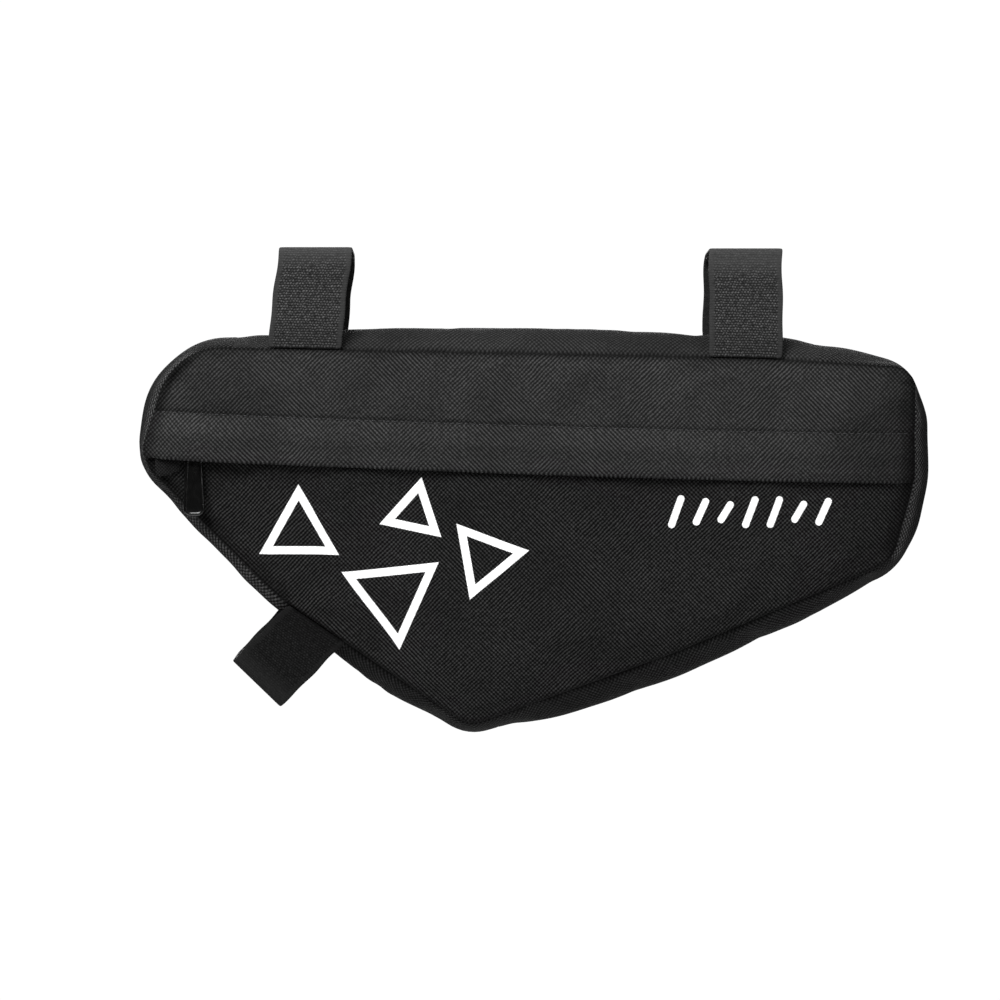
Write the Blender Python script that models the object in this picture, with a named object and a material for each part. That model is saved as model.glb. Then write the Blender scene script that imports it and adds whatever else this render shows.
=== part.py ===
"""Bicycle frame bag, hung in a frame's front triangle by three hook-and-loop straps.

Metres, +Z up, +X towards the rear of the bicycle, -Y is the side with the zip. The origin is on
the top tube's axis, midway between the two upper straps. The bag is sewn from two crowned side
panels and a band of gusset cloth in three lengths. The zip lies under a flap.
"""

import math

import bmesh
import bpy
import numpy as np
from mathutils import Vector

for item in list(bpy.data.objects):
    bpy.data.objects.remove(item, do_unlink=True)

# Sizes of the bag's body
PANEL_LENGTH = 0.3292
PANEL_HEIGHT = 0.1584
GUSSET_WIDTH = 0.040
GUSSET_BULGE = 0.0112
PANEL_CROWN = 0.0060
CROWN_REACH = 0.011
RIDGE_REACH_UP = 0.060
RIDGE_REACH_DOWN = 0.120
CLOTH = 0.0016
SEAM_GAP = 0.0003
NOSE_AHEAD = 0.1639

# Sizes of the bicycle's tubes, which the straps and the lower edge fit
TOP_TUBE_RADIUS = 0.0143
TOP_TUBE_GAP = 0.0005
DOWN_TUBE_RADIUS = 0.0159
DOWN_TUBE_GAP = 0.0005
DOWN_TUBE_ANGLE = math.radians(44.5)
DOWN_STRAP_X = -0.1022
DOWN_STRAP_Z = -0.1536

# Sizes of the flap and the zip
FLAP_HEIGHT = 0.0215
FLAP_CLOTH = 0.0020
FLAP_GAP = 0.0008
COIL_ABOVE_FLAP_EDGE = 0.0085
PANEL_EDGE_ABOVE_FLAP_EDGE = 0.0030
TAPE_WIDTH = 0.030
TAPE_CLOTH = 0.0010
TAPE_SINK = 0.0022
TAPE_GAP = 0.0008
COIL_WIDTH = 0.0042
COIL_HEIGHT = 0.0014
COIL_END_INSET = 0.009
TAPE_END_INSET = 0.0075

# Sizes of the slider and its pull tab
SLIDER_FROM_NOSE = 0.0225
POST_FROM_SLIDER_START = 0.0015
SLIDER_LENGTH = 0.0105
SLIDER_WIDTH = 0.0076
SLIDER_PLATE = 0.0009
POST_RADIUS = 0.0010
BAIL_REACH = 0.0062
BAIL_WIDTH = 0.0024
BAIL_THICKNESS = 0.0008
PULL_DROP = 0.0300
PULL_THICKNESS = 0.0015
PULL_TOP_WIDTH = 0.0066
PULL_BOTTOM_WIDTH = 0.0092
PULL_CORNER = 0.0030
EYE_RADIUS = 0.0014
PULL_GAP = 0.0004
BUMP_REACH = 0.020
END_TAB_LENGTH = 0.0105
END_TAB_DROP = 0.0055
END_TAB_CLOTH = 0.0008

# Sizes of the straps
STRAP_THICKNESS = 0.0013
TOP_STRAP_WIDTH = 0.0300
DOWN_STRAP_WIDTH = 0.0275
STRAP_SPACING = 0.1868
FOLD_RADIUS = 0.0030
BACK_FOLD_RADIUS = 0.0090
LAP_GAP = 0.0006
HOOK_END_ABOVE_SEAM = 0.0080
STRAP_STATIONS = 26
STRAP_SAMPLES = 400
STRAP_COLUMNS = 5

# Net densities
OUTLINE_SAMPLES = 3600
STRAIGHT_STEP = 0.020
TURN_STEP = math.radians(17)
GUSSET_ROWS = 9
PANEL_ROWS = 9
PANEL_COLUMNS = 42
TAPE_COLUMNS = 26
MERGE = 0.00002

# The side panel's sewn outline, nose to rear along its top and back along its lower edges.
# along and down are shares of the panel's length and height, and radius is a share of its height.
# at_corner and to_next are the gusset's bulge there and on the edge that follows, as shares of it.
OUTLINE = (
    # name, along, down, radius, at_corner, to_next
    ("nose_top", 0.046, -0.027, 0.177, 0.31, 0.93),
    ("rear_strap", 0.805, 0.006, 0.600, 0.82, 0.56),
    ("top_rear", 1.000, 0.028, 0.063, 0.12, 0.75),
    ("rear_middle", 1.000, 0.342, 0.250, 0.78, 0.84),
    ("rear_low", 0.974, 0.552, 0.088, 0.66, 1.00),
    ("bottom_middle", 0.690, 0.802, 0.900, 1.15, 1.10),
    ("toe", 0.425, 1.000, 0.076, 0.62, 1.00),
    ("down_middle", 0.176, 0.645, 0.760, 0.92, 0.80),
    ("nose_low", 0.000, 0.279, 0.101, 0.42, 0.58),
)

# Where the flap's lower edge meets the two ends of the outline, as shares of the panel's height
FLAP_EDGE_DOWN_AT_NOSE = 0.280
FLAP_EDGE_DOWN_AT_REAR = 0.343
FLAP_EDGE_SAG = 0.0013

# The gusset's three lengths, by the share of the outline's length where each joint lies
GUSSET_JOINTS = {"nose": 0.0490, "rear_top": 0.3560, "toe": 0.7300}

# The three strap loops. peak is how far the outer face of the fold stands from the tube's axis,
# back that of the fold behind, and fold_front and fold_back are those folds' depths, as shares
# of the tube's radius. lean is how far the loop's top is shifted along the tube, as a share of the
# strap's width.
STRAPS = (
    # name, lean, peak, back, fold_front, fold_back
    ("strap_top_front", 0.143, 1.440, 1.20, 0.85, 1.01),
    ("strap_top_rear", 0.020, 1.400, 1.20, 0.86, 1.01),
    ("strap_down", 0.000, 1.215, 1.21, 0.91, 1.10),
)


# Materials

def make_material(name, colour, roughness, metallic=0.0):
    """A plain surface with the piece's colour, roughness and metallic value."""
    material = bpy.data.materials.new(name)
    material.use_nodes = True
    surface = material.node_tree.nodes["Principled BSDF"]
    surface.inputs["Base Color"].default_value = (*colour, 1.0)
    surface.inputs["Roughness"].default_value = roughness
    surface.inputs["Metallic"].default_value = metallic
    return material


FLAP_FABRIC = make_material("flap_fabric", (0.030, 0.030, 0.031), 0.85)
PANEL_FABRIC = make_material("panel_fabric", (0.020, 0.020, 0.021), 0.85)
GUSSET_FABRIC = make_material("gusset_fabric", (0.024, 0.024, 0.025), 0.85)
HOOK_TAPE = make_material("hook_tape", (0.040, 0.040, 0.041), 0.80)
LOOP_TAPE = make_material("loop_tape", (0.030, 0.030, 0.031), 0.95)
ZIP_TAPE = make_material("zip_tape", (0.015, 0.015, 0.016), 0.90)
ZIP_NYLON = make_material("zip_nylon", (0.012, 0.012, 0.013), 0.45)
SLIDER_METAL = make_material("slider_metal", (0.030, 0.030, 0.032), 0.35, 0.9)
PULL_RUBBER = make_material("pull_rubber", (0.008, 0.008, 0.009), 0.40)


# The outline

TOP_SEAM_Z = -(TOP_TUBE_RADIUS + TOP_TUBE_GAP + GUSSET_BULGE)


def rounded_path(corners, closed, samples):
    """Points along straight edges joined by arcs that touch both edges. corners has x, z, radius."""
    count = len(corners)
    points = []
    for index, (x, z, radius) in enumerate(corners):
        here = np.array((x, z))
        if not closed and index in (0, count - 1):
            points.append(here[None])
            continue
        before = np.array(corners[index - 1][:2]) - here
        after = np.array(corners[(index + 1) % count][:2]) - here
        before /= np.linalg.norm(before)
        after /= np.linalg.norm(after)
        half_angle = math.acos(float(before @ after)) / 2
        reach = radius / math.tan(half_angle)
        bisector = (before + after) / np.linalg.norm(before + after)
        centre = here + bisector * radius / math.sin(half_angle)
        start = here + before * reach - centre
        end = here + after * reach - centre
        turn = math.atan2(start[0] * end[1] - start[1] * end[0], float(start @ end))
        angles = math.atan2(start[1], start[0]) + turn * np.linspace(0, 1, samples)
        points.append(centre + radius * np.column_stack((np.cos(angles), np.sin(angles))))
    path = np.vstack(points)
    return np.vstack((path, path[:1])) if closed else path


def resample(path, shares):
    """Points at the given shares of a path's length."""
    steps = np.linalg.norm(np.diff(path, axis=0), axis=1)
    travelled = np.concatenate(([0.0], np.cumsum(steps)))
    wanted = np.asarray(shares) * travelled[-1]
    return np.column_stack([np.interp(wanted, travelled, column) for column in path.T])


def outline_corners():
    """The outline table's corners in metres."""
    return [
        (PANEL_LENGTH * along - NOSE_AHEAD, TOP_SEAM_Z - PANEL_HEIGHT * down, PANEL_HEIGHT * radius)
        for _, along, down, radius, _, _ in OUTLINE
    ]


OUTLINE_SHARES = np.linspace(0, 1, OUTLINE_SAMPLES)
OUTLINE_PATH = resample(rounded_path(outline_corners(), True, 40), OUTLINE_SHARES)


def outline_normals():
    """The outline's outward directions, at its samples."""
    ahead = np.vstack((OUTLINE_PATH[1:], OUTLINE_PATH[1:2]))
    behind = np.vstack((OUTLINE_PATH[-2:-1], OUTLINE_PATH[:-1]))
    along = ahead - behind
    along /= np.linalg.norm(along, axis=1)[:, None]
    return np.column_stack((-along[:, 1], along[:, 0]))


OUTLINE_NORMALS = outline_normals()


def bulge_at_samples():
    """The gusset's bulge at the outline's samples, eased between the table's values."""
    corners = np.array([corner[:2] for corner in outline_corners()])
    nearest = [int(np.argmin(np.linalg.norm(OUTLINE_PATH[:-1] - c, axis=1))) for c in corners]
    corner_shares = OUTLINE_SHARES[nearest]
    knots = []
    for index, row in enumerate(OUTLINE):
        here = corner_shares[index] + (1.0 if corner_shares[index] < corner_shares[0] else 0.0)
        following = corner_shares[(index + 1) % len(OUTLINE)]
        following += 1.0 if following <= here else 0.0
        knots.append((here, row[4]))
        knots.append(((here + following) / 2, row[5]))
    places = np.array([knot[0] for knot in knots])
    values = np.array([knot[1] for knot in knots])
    places = np.concatenate((places - 1, places, places + 1))
    values = np.tile(values, 3)
    index = np.searchsorted(places, OUTLINE_SHARES, side="right") - 1
    share = (OUTLINE_SHARES - places[index]) / (places[index + 1] - places[index])
    eased = share * share * (3 - 2 * share)
    return GUSSET_BULGE * (values[index] * (1 - eased) + values[index + 1] * eased)


BULGES = bulge_at_samples()


def stations(start, end):
    """Shares of the outline from start to end, closer together where the outline turns."""
    angles = np.unwrap(np.arctan2(OUTLINE_NORMALS[:, 1], OUTLINE_NORMALS[:, 0]))
    length = np.linalg.norm(np.diff(OUTLINE_PATH, axis=0), axis=1)
    density = length / STRAIGHT_STEP + np.abs(np.diff(angles)) / TURN_STEP
    effort = np.concatenate(([0.0], np.cumsum(density)))
    places = np.concatenate((OUTLINE_SHARES, OUTLINE_SHARES[1:] + 1))
    effort = np.concatenate((effort, effort[1:] + effort[-1]))
    first = np.interp(start, places, effort)
    last = np.interp(end, places, effort)
    count = max(4, int(math.ceil(last - first)) + 1)
    return np.interp(np.linspace(first, last, count), effort, places)


def at_outline(shares):
    """The outline's point, outward direction and bulge at the given shares."""
    wrapped = np.mod(shares, 1.0)
    columns = np.column_stack((OUTLINE_PATH, OUTLINE_NORMALS, BULGES))
    found = np.column_stack([np.interp(wrapped, OUTLINE_SHARES, c) for c in columns.T])
    return found[:, :2], found[:, 2:4], found[:, 4]


# The side panels' surface

def flap_edge_z(x):
    """Height of the flap's lower edge, a line with a little sag."""
    share = (np.asarray(x) + NOSE_AHEAD) / PANEL_LENGTH
    down = FLAP_EDGE_DOWN_AT_NOSE + (FLAP_EDGE_DOWN_AT_REAR - FLAP_EDGE_DOWN_AT_NOSE) * share
    return TOP_SEAM_Z - PANEL_HEIGHT * down - FLAP_EDGE_SAG * 4 * share * (1 - share)


def distance_inside(x, z):
    """How far points lie from the outline."""
    points = np.column_stack((np.ravel(x), np.ravel(z)))
    gaps = np.linalg.norm(points[:, None] - OUTLINE_PATH[None, ::4], axis=2)
    return gaps.min(axis=1).reshape(np.shape(x))


def crown(x, z):
    """How far the panel stands out from its seams: steep at the seam, highest along the flap's edge."""
    above = np.asarray(z) - flap_edge_z(x)
    fall = np.where(above > 0, above / RIDGE_REACH_UP, -above / RIDGE_REACH_DOWN)
    ridge = 1 - 0.5 * np.clip(fall, 0, 1)
    return PANEL_CROWN * ridge * (1 - np.exp(-distance_inside(x, z) / CROWN_REACH))


def inner_depth(x, z):
    """Distance from the bag's middle plane to a side panel's inner face."""
    return GUSSET_WIDTH / 2 + SEAM_GAP + crown(x, z)


def crossing(height_above_flap_edge, at_nose):
    """Share of the outline where a line parallel to the flap's edge meets its nose or rear end."""
    line = flap_edge_z(OUTLINE_PATH[:, 0]) + height_above_flap_edge
    facing = OUTLINE_NORMALS[:, 0] < -0.3 if at_nose else OUTLINE_NORMALS[:, 0] > 0.3
    miss = np.where(facing, np.abs(OUTLINE_PATH[:, 1] - line), 1.0)
    return float(OUTLINE_SHARES[int(np.argmin(miss))])


def chain(start, end, count):
    """Points of the outline between two shares."""
    places = start + (end - start) * np.linspace(0, 1, count)
    return at_outline(places)[0]


# Making pieces

def add_object(name, shape, material, location=(0, 0, 0)):
    """Puts a bmesh into a named object."""
    mesh = bpy.data.meshes.new(name)
    bmesh.ops.recalc_face_normals(shape, faces=shape.faces)
    shape.to_mesh(mesh)
    shape.free()
    mesh.materials.append(material)
    piece = bpy.data.objects.new(name, mesh)
    piece.location = location
    bpy.context.scene.collection.objects.link(piece)
    mesh.shade_smooth()
    mesh.set_sharp_from_angle(angle=math.radians(40))
    return piece


def cloth_piece(name, outer, inner, material):
    """A piece of cloth: two matching nets of points, rows by columns, joined round their edges."""
    shape = bmesh.new()
    nets = [[[shape.verts.new(tuple(point)) for point in row] for row in net] for net in (outer, inner)]
    for net in nets:
        for near, far in zip(net, net[1:]):
            for k in range(len(near) - 1):
                shape.faces.new((near[k], near[k + 1], far[k + 1], far[k]))
    borders = [edge_of(net) for net in nets]
    for k in range(len(borders[0])):
        shape.faces.new((borders[0][k - 1], borders[0][k], borders[1][k], borders[1][k - 1]))
    bmesh.ops.remove_doubles(shape, verts=shape.verts, dist=MERGE)
    return add_object(name, shape, material)


def edge_of(net):
    """The points round a net's edge, in order."""
    sides = [row[-1] for row in net[1:-1]]
    others = [row[0] for row in net[1:-1]]
    return list(net[0]) + sides + list(net[-1][::-1]) + others[::-1]


def moved_along_normals(net, distance, outward):
    """A net of points moved square to itself, away from the outward side."""
    rows = np.gradient(net, axis=0)
    columns = np.gradient(net, axis=1)
    normals = np.cross(rows, columns)
    normals /= np.linalg.norm(normals, axis=2)[..., None]
    middle = tuple(size // 2 for size in net.shape[:2])
    if normals[middle] @ np.asarray(outward(net[middle])) < 0:
        normals = -normals
    return net - normals * distance


def block(size, centre):
    """A bmesh box, from its three sizes and its centre."""
    shape = bmesh.new()
    bmesh.ops.create_cube(shape, size=1.0)
    bmesh.ops.scale(shape, vec=Vector(size), verts=shape.verts)
    bmesh.ops.translate(shape, vec=Vector(centre), verts=shape.verts)
    return shape


def post(radius, depth, centre, sides=20):
    """A bmesh cylinder along Y."""
    shape = bmesh.new()
    bmesh.ops.create_cone(
        shape, cap_ends=True, segments=sides, radius1=radius, radius2=radius, depth=depth
    )
    turn = Vector((0, 0, 1)).rotation_difference(Vector((0, 1, 0))).to_matrix()
    bmesh.ops.rotate(shape, cent=(0, 0, 0), matrix=turn, verts=shape.verts)
    bmesh.ops.translate(shape, vec=Vector(centre), verts=shape.verts)
    return shape


def combine(piece, name, shape, operation):
    """Joins a second shape to a piece, or cuts it out."""
    tool = add_object(name, shape, piece.data.materials[0], piece.location)
    tool.hide_render = True
    tool.display_type = "WIRE"
    step = piece.modifiers.new(name, "BOOLEAN")
    step.operation = operation
    step.object = tool


# The gusset

def off_tube(points, tube_point, along, towards_bag, clear):
    """Moves gusset points out of a tube's cylinder, square to the tube and towards the bag."""
    along, towards_bag = np.array(along), np.array(towards_bag)
    rel = points[..., [0, 2]] - np.array(tube_point)
    height = rel @ towards_bag
    surface = np.sqrt(np.clip(clear**2 - points[..., 1] ** 2, 0, None))
    beside = (surface > 0) & (height > -clear)
    height_now = np.where(beside, np.maximum(height, surface), height)
    moved = np.array(tube_point) + (rel @ along)[..., None] * along
    moved = moved + height_now[..., None] * towards_bag
    result = points.copy()
    result[..., 0] = moved[..., 0]
    result[..., 2] = moved[..., 1]
    return result


def tube_push(points):
    """Keeps the gusset off both tubes."""
    slope = (math.cos(DOWN_TUBE_ANGLE), -math.sin(DOWN_TUBE_ANGLE))
    square = (math.sin(DOWN_TUBE_ANGLE), math.cos(DOWN_TUBE_ANGLE))
    strap_point = (DOWN_STRAP_X, DOWN_STRAP_Z)
    clear = DOWN_TUBE_RADIUS + DOWN_TUBE_GAP
    points = off_tube(points, strap_point, slope, square, clear)
    return off_tube(points, (0.0, 0.0), (1.0, 0.0), (0.0, -1.0), TOP_TUBE_RADIUS + TOP_TUBE_GAP)


def gusset_net(start, end):
    """The gusset's outer face: across its width it bulges past the seams and flattens in the middle."""
    places, outward, bulge = at_outline(stations(start, end))
    across = np.linspace(-1, 1, GUSSET_ROWS)
    across = np.sin(across * math.pi / 2)
    rise = 1 - np.abs(across) ** 2.2
    flat = places[:, None] + outward[:, None] * (bulge[:, None] * rise[None])[..., None]
    depth = np.broadcast_to(across * GUSSET_WIDTH / 2, flat.shape[:2])
    return tube_push(np.stack((flat[..., 0], depth, flat[..., 1]), axis=-1))


def make_gusset():
    """Three lengths of gusset cloth, which meet end to end with a small gap."""
    perimeter = float(np.linalg.norm(np.diff(OUTLINE_PATH, axis=0), axis=1).sum())
    half_gap = SEAM_GAP * 0.8 / perimeter
    joints = GUSSET_JOINTS
    lengths = {
        "gusset_top": (joints["nose"], joints["rear_top"]),
        "gusset_rear": (joints["rear_top"], joints["toe"]),
        "gusset_front": (joints["toe"], joints["nose"] + 1),
    }
    centre = np.array((0, 0, TOP_SEAM_Z - PANEL_HEIGHT * 0.4))
    for name, (start, end) in lengths.items():
        outer = gusset_net(start + half_gap, end - half_gap)
        inner = moved_along_normals(outer, CLOTH, lambda point: point - centre)
        cloth_piece(name, outer, inner, GUSSET_FABRIC)


# The side panels

def between(upper, lower, rows):
    """A net of points from an upper chain to a lower one."""
    shares = np.linspace(0, 1, rows)[:, None, None]
    return upper[None] * (1 - shares) + lower[None] * shares


def line_between(start, end, height_above_flap_edge, count):
    """Points between two places on the outline, along a line parallel to the flap's edge."""
    left, right = at_outline(np.array((start, end)))[0]
    x = left[0] + (right[0] - left[0]) * (1 - np.cos(np.linspace(0, math.pi, count))) / 2
    z = flap_edge_z(x) + height_above_flap_edge
    z[0], z[-1] = left[1], right[1]
    return np.column_stack((x, z))


def sheet(name, x, z, inner_face, thickness, material, side=-1):
    """A cloth piece over a net of x and z, with its inner face at a depth and its outer one beyond."""
    inner = np.stack((x, side * inner_face, z), axis=-1)
    outer = np.stack((x, side * (inner_face + thickness), z), axis=-1)
    return cloth_piece(name, outer, inner, material)


def bump(x):
    """Share of the flap's extra lift over the slider, along the zip."""
    middle = pivot_x() + SLIDER_LENGTH / 2 - BAIL_WIDTH / 2
    return np.exp(-(((x - middle) / BUMP_REACH) ** 4))


def flap_lift(x, z):
    """How far the flap stands off the panel: none at its stitch line, most over the slider."""
    below_stitch = (flap_edge_z(x) + FLAP_HEIGHT - z) / (FLAP_HEIGHT * 0.45)
    share = np.clip(below_stitch, 0, 1)
    eased = share * share * (3 - 2 * share)
    plain = CLOTH + FLAP_GAP
    over_slider = bail_outer_depth() + PULL_GAP * 2 - float(inner_depth(*pivot_plane_point()))
    return eased * (plain + (over_slider - plain) * bump(x))


def make_front_upper():
    """The upper panel and the flap below its stitch line, one piece of cloth."""
    left, right = crossing(0, True), crossing(0, False)
    upper = chain(left - 1, right, PANEL_COLUMNS)
    lower = line_between(left, right, 0, PANEL_COLUMNS)
    flat = between(upper, lower, PANEL_ROWS + 2)
    x, z = flat[..., 0], flat[..., 1]
    sheet("front_upper_flap", x, z, inner_depth(x, z) + flap_lift(x, z), FLAP_CLOTH, FLAP_FABRIC)


def make_front_lower():
    """The panel below the zip, whose top edge hides under the flap."""
    height = PANEL_EDGE_ABOVE_FLAP_EDGE
    left, right = crossing(height, True), crossing(height, False)
    upper = line_between(left, right, height, PANEL_COLUMNS)
    lower = chain(left, right, PANEL_COLUMNS)
    flat = between(upper, lower, PANEL_ROWS)
    x, z = flat[..., 0], flat[..., 1]
    sheet("front_lower", x, z, inner_depth(x, z), CLOTH, PANEL_FABRIC)


def make_back():
    """The plain panel on the other side."""
    left, right = crossing(0, True), crossing(0, False)
    upper = chain(left - 1, right, PANEL_COLUMNS)
    lower = chain(left, right, PANEL_COLUMNS)
    flat = between(upper, lower, PANEL_ROWS + 2)
    x, z = flat[..., 0], flat[..., 1]
    sheet("back_panel", x, z, inner_depth(x, z), CLOTH, PANEL_FABRIC, side=1)


# The zip

def pivot_x():
    """Where the slider's post stands along the zip."""
    return SLIDER_FROM_NOSE - NOSE_AHEAD + POST_FROM_SLIDER_START


def coil_z(x):
    """Height of the zip's middle line."""
    return flap_edge_z(x) + COIL_ABOVE_FLAP_EDGE


def pivot_plane_point():
    """The post's place in the bag's middle plane."""
    return pivot_x(), float(coil_z(pivot_x()))


def pull_inner_depth():
    """Depth of the pull tab's inner face: clear of the lower panel all over the tab's swing."""
    x, z = pivot_plane_point()
    reach = np.linspace(0.1, 1, 12)[:, None] * PULL_DROP
    swing = np.radians(np.linspace(-45, 45, 19))[None]
    px = x + reach * np.sin(swing)
    pz = z - reach * np.cos(swing)
    return max(float(inner_depth(px, pz).max()) + CLOTH, float(end_tab_net()[2].max())) + PULL_GAP


def bail_inner_depth():
    """Depth of the bail's bridge, just outside the pull tab."""
    return pull_inner_depth() + PULL_THICKNESS + PULL_GAP


def bail_outer_depth():
    """Depth of the bail's outer face."""
    return bail_inner_depth() + BAIL_THICKNESS


def tape_depth(x, z):
    """Depth of the tape's outer face: just inside the panels at its edges, sunk along the coil."""
    off_centre = np.clip(np.abs(z - coil_z(x)) / (TAPE_WIDTH / 2), 0, 1)
    sink = TAPE_SINK * np.cos(off_centre * math.pi / 2) ** 1.5
    return inner_depth(x, z) - TAPE_GAP - sink


def zip_ends(inset):
    """The two ends of the zip's middle line, inset from the outline."""
    line = at_outline(np.array((crossing(0, True), crossing(0, False))))[0]
    return line[0, 0] + inset, line[1, 0] - inset


def make_zip_tape():
    """The zip's tape, a shallow channel behind the flap."""
    left, right = zip_ends(TAPE_END_INSET)
    x = np.linspace(left, right, TAPE_COLUMNS)[None].repeat(9, axis=0)
    off_centre = np.linspace(1, -1, 9)[:, None] * TAPE_WIDTH / 2
    slant = PANEL_HEIGHT * OUTLINE[0][3]
    ends = np.clip((x - left) / slant, 0, 1)
    x = x + np.clip(off_centre, 0, None) * (1 - ends) * 0.35
    z = coil_z(x) + off_centre
    sheet("zip_tape", x, z, tape_depth(x, z) - TAPE_CLOTH, TAPE_CLOTH, ZIP_TAPE)


def make_zip_coil():
    """The closed nylon coil, one strip along the tape's middle."""
    left, right = zip_ends(COIL_END_INSET)
    x = np.linspace(left, right, TAPE_COLUMNS)[None].repeat(5, axis=0)
    off_centre = np.linspace(1, -1, 5)[:, None] * COIL_WIDTH / 2
    z = coil_z(x) + off_centre
    dome = COIL_HEIGHT * 0.25 * (1 - (2 * off_centre / COIL_WIDTH) ** 2)
    sheet("zip_coil", x, z, tape_depth(x, coil_z(x)) + SEAM_GAP * 2 + dome, COIL_HEIGHT, ZIP_NYLON)


def make_slider():
    """The slider: a plate with two flanges astride the coil, a round post and a bridge over it."""
    x, z = pivot_plane_point()
    middle_x = (SLIDER_LENGTH - BAIL_WIDTH) / 2
    along = x + middle_x + np.linspace(-0.5, 0.5, 5)[:, None] * SLIDER_LENGTH
    beside = coil_z(along) + np.array((-0.5, 0, 0.5))[None] * SLIDER_WIDTH
    along = along.repeat(3, axis=1)
    coil_top = float(tape_depth(along, coil_z(along)).max()) + SEAM_GAP * 2 + COIL_HEIGHT * 1.25
    plate_inner = coil_top + PULL_GAP
    plate_outer = plate_inner + SLIDER_PLATE
    flange_inner = float(tape_depth(along, beside).max()) + PULL_GAP
    plate = block(
        (SLIDER_LENGTH, SLIDER_PLATE, SLIDER_WIDTH),
        (middle_x, -(plate_inner + plate_outer) / 2, 0),
    )
    piece = add_object("zip_slider", plate, SLIDER_METAL, (x, 0, z))
    flange_height = plate_outer - flange_inner
    flange_side = (SLIDER_WIDTH - SLIDER_PLATE) / 2
    for name, side in (("flange_upper", 1), ("flange_lower", -1)):
        flange = block(
            (SLIDER_LENGTH * 0.92, flange_height, SLIDER_PLATE),
            (middle_x, -(flange_inner + plate_outer) / 2 + SLIDER_PLATE * 0.1, side * flange_side),
        )
        combine(piece, name, flange, "UNION")
    post_depth = bail_outer_depth() - plate_inner - SLIDER_PLATE * 0.6
    post_centre = -(bail_outer_depth() - BAIL_THICKNESS * 0.3 - post_depth / 2)
    combine(piece, "post", post(POST_RADIUS, post_depth, (0, post_centre, 0)), "UNION")
    far_leg = block((BAIL_THICKNESS * 1.6, post_depth, BAIL_WIDTH), (BAIL_REACH, post_centre, 0))
    combine(piece, "far_leg", far_leg, "UNION")
    bridge_length = BAIL_REACH + BAIL_WIDTH * 0.9
    bridge = block(
        (bridge_length, BAIL_THICKNESS, BAIL_WIDTH),
        (BAIL_REACH / 2, -(bail_inner_depth() + bail_outer_depth()) / 2, 0),
    )
    combine(piece, "bridge", bridge, "UNION")


def pull_outline():
    """The pull tab's outline round its eye: a neck at the top, wider and rounded at the bottom."""
    half_top = PULL_TOP_WIDTH / 2
    half_bottom = PULL_BOTTOM_WIDTH / 2
    top = half_top * 0.9
    corners = [
        (-half_top * 0.80, top, half_top * 0.5),
        (half_top * 0.80, top, half_top * 0.5),
        (half_top, -half_top, half_top * 0.3),
        (half_bottom, -PULL_DROP, PULL_CORNER),
        (-half_bottom, -PULL_DROP, PULL_CORNER),
        (-half_top, -half_top, half_top * 0.3),
    ]
    return rounded_path(corners, True, 6)[:-1]


def make_pull():
    """The pull tab, with its own origin on the slider's post."""
    x, z = pivot_plane_point()
    inner = pull_inner_depth()
    shape = bmesh.new()
    ring = [shape.verts.new((px, -PULL_THICKNESS / 2, pz)) for px, pz in pull_outline()]
    face = shape.faces.new(ring)
    grown = bmesh.ops.extrude_face_region(shape, geom=[face])
    moved = [item for item in grown["geom"] if isinstance(item, bmesh.types.BMVert)]
    bmesh.ops.translate(shape, vec=Vector((0, PULL_THICKNESS, 0)), verts=moved)
    place = (x, -(inner + PULL_THICKNESS / 2), z)
    piece = add_object("zip_pull", shape, PULL_RUBBER, place)
    combine(piece, "eye", post(EYE_RADIUS, PULL_THICKNESS * 3, (0, 0, 0)), "DIFFERENCE")


def end_tab_net():
    """The end tab's net of x and z, and the depth of its outer face."""
    left = at_outline(np.array((crossing(-END_TAB_DROP, True),)))[0][0, 0] + 2 * END_TAB_CLOTH
    x = np.linspace(left, left + END_TAB_LENGTH, 9)[None].repeat(6, axis=0)
    share = (x - left) / END_TAB_LENGTH
    top = flap_edge_z(x) + PANEL_EDGE_ABOVE_FLAP_EDGE * 0.8
    bottom = flap_edge_z(x) - END_TAB_DROP * np.sqrt(1 - 0.98 * share**2)
    down = np.linspace(0, 1, 6)[:, None]
    z = top * (1 - down) + bottom * down
    return x, z, inner_depth(x, z) + CLOTH + SEAM_GAP * 2 + END_TAB_CLOTH


def make_end_tab():
    """The tab of cloth that closes the zip's end, under the flap at the nose."""
    x, z, outer_face = end_tab_net()
    sheet("zip_end_tab", x, z, outer_face - END_TAB_CLOTH, END_TAB_CLOTH, GUSSET_FABRIC)


# The straps

def strap_path(radius, seam_away, peak, back, fold_front, fold_back):
    """A loop's outer face round the tube: y and away, from the front seam to the rear seam."""
    foot = GUSSET_WIDTH / 2 + SEAM_GAP + STRAP_THICKNESS
    corners = [
        (-foot, seam_away, 0),
        (-radius * fold_front, radius * peak, FOLD_RADIUS),
        (radius * fold_back, radius * back, BACK_FOLD_RADIUS),
        (foot + STRAP_THICKNESS + LAP_GAP, seam_away, 0),
    ]
    return rounded_path(corners, False, 7)


def offset_inward(path, distance):
    """A path moved towards the tube."""
    along = np.gradient(path, axis=0)
    along /= np.linalg.norm(along, axis=1)[:, None]
    return path + np.column_stack((along[:, 1], -along[:, 0])) * distance


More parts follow.
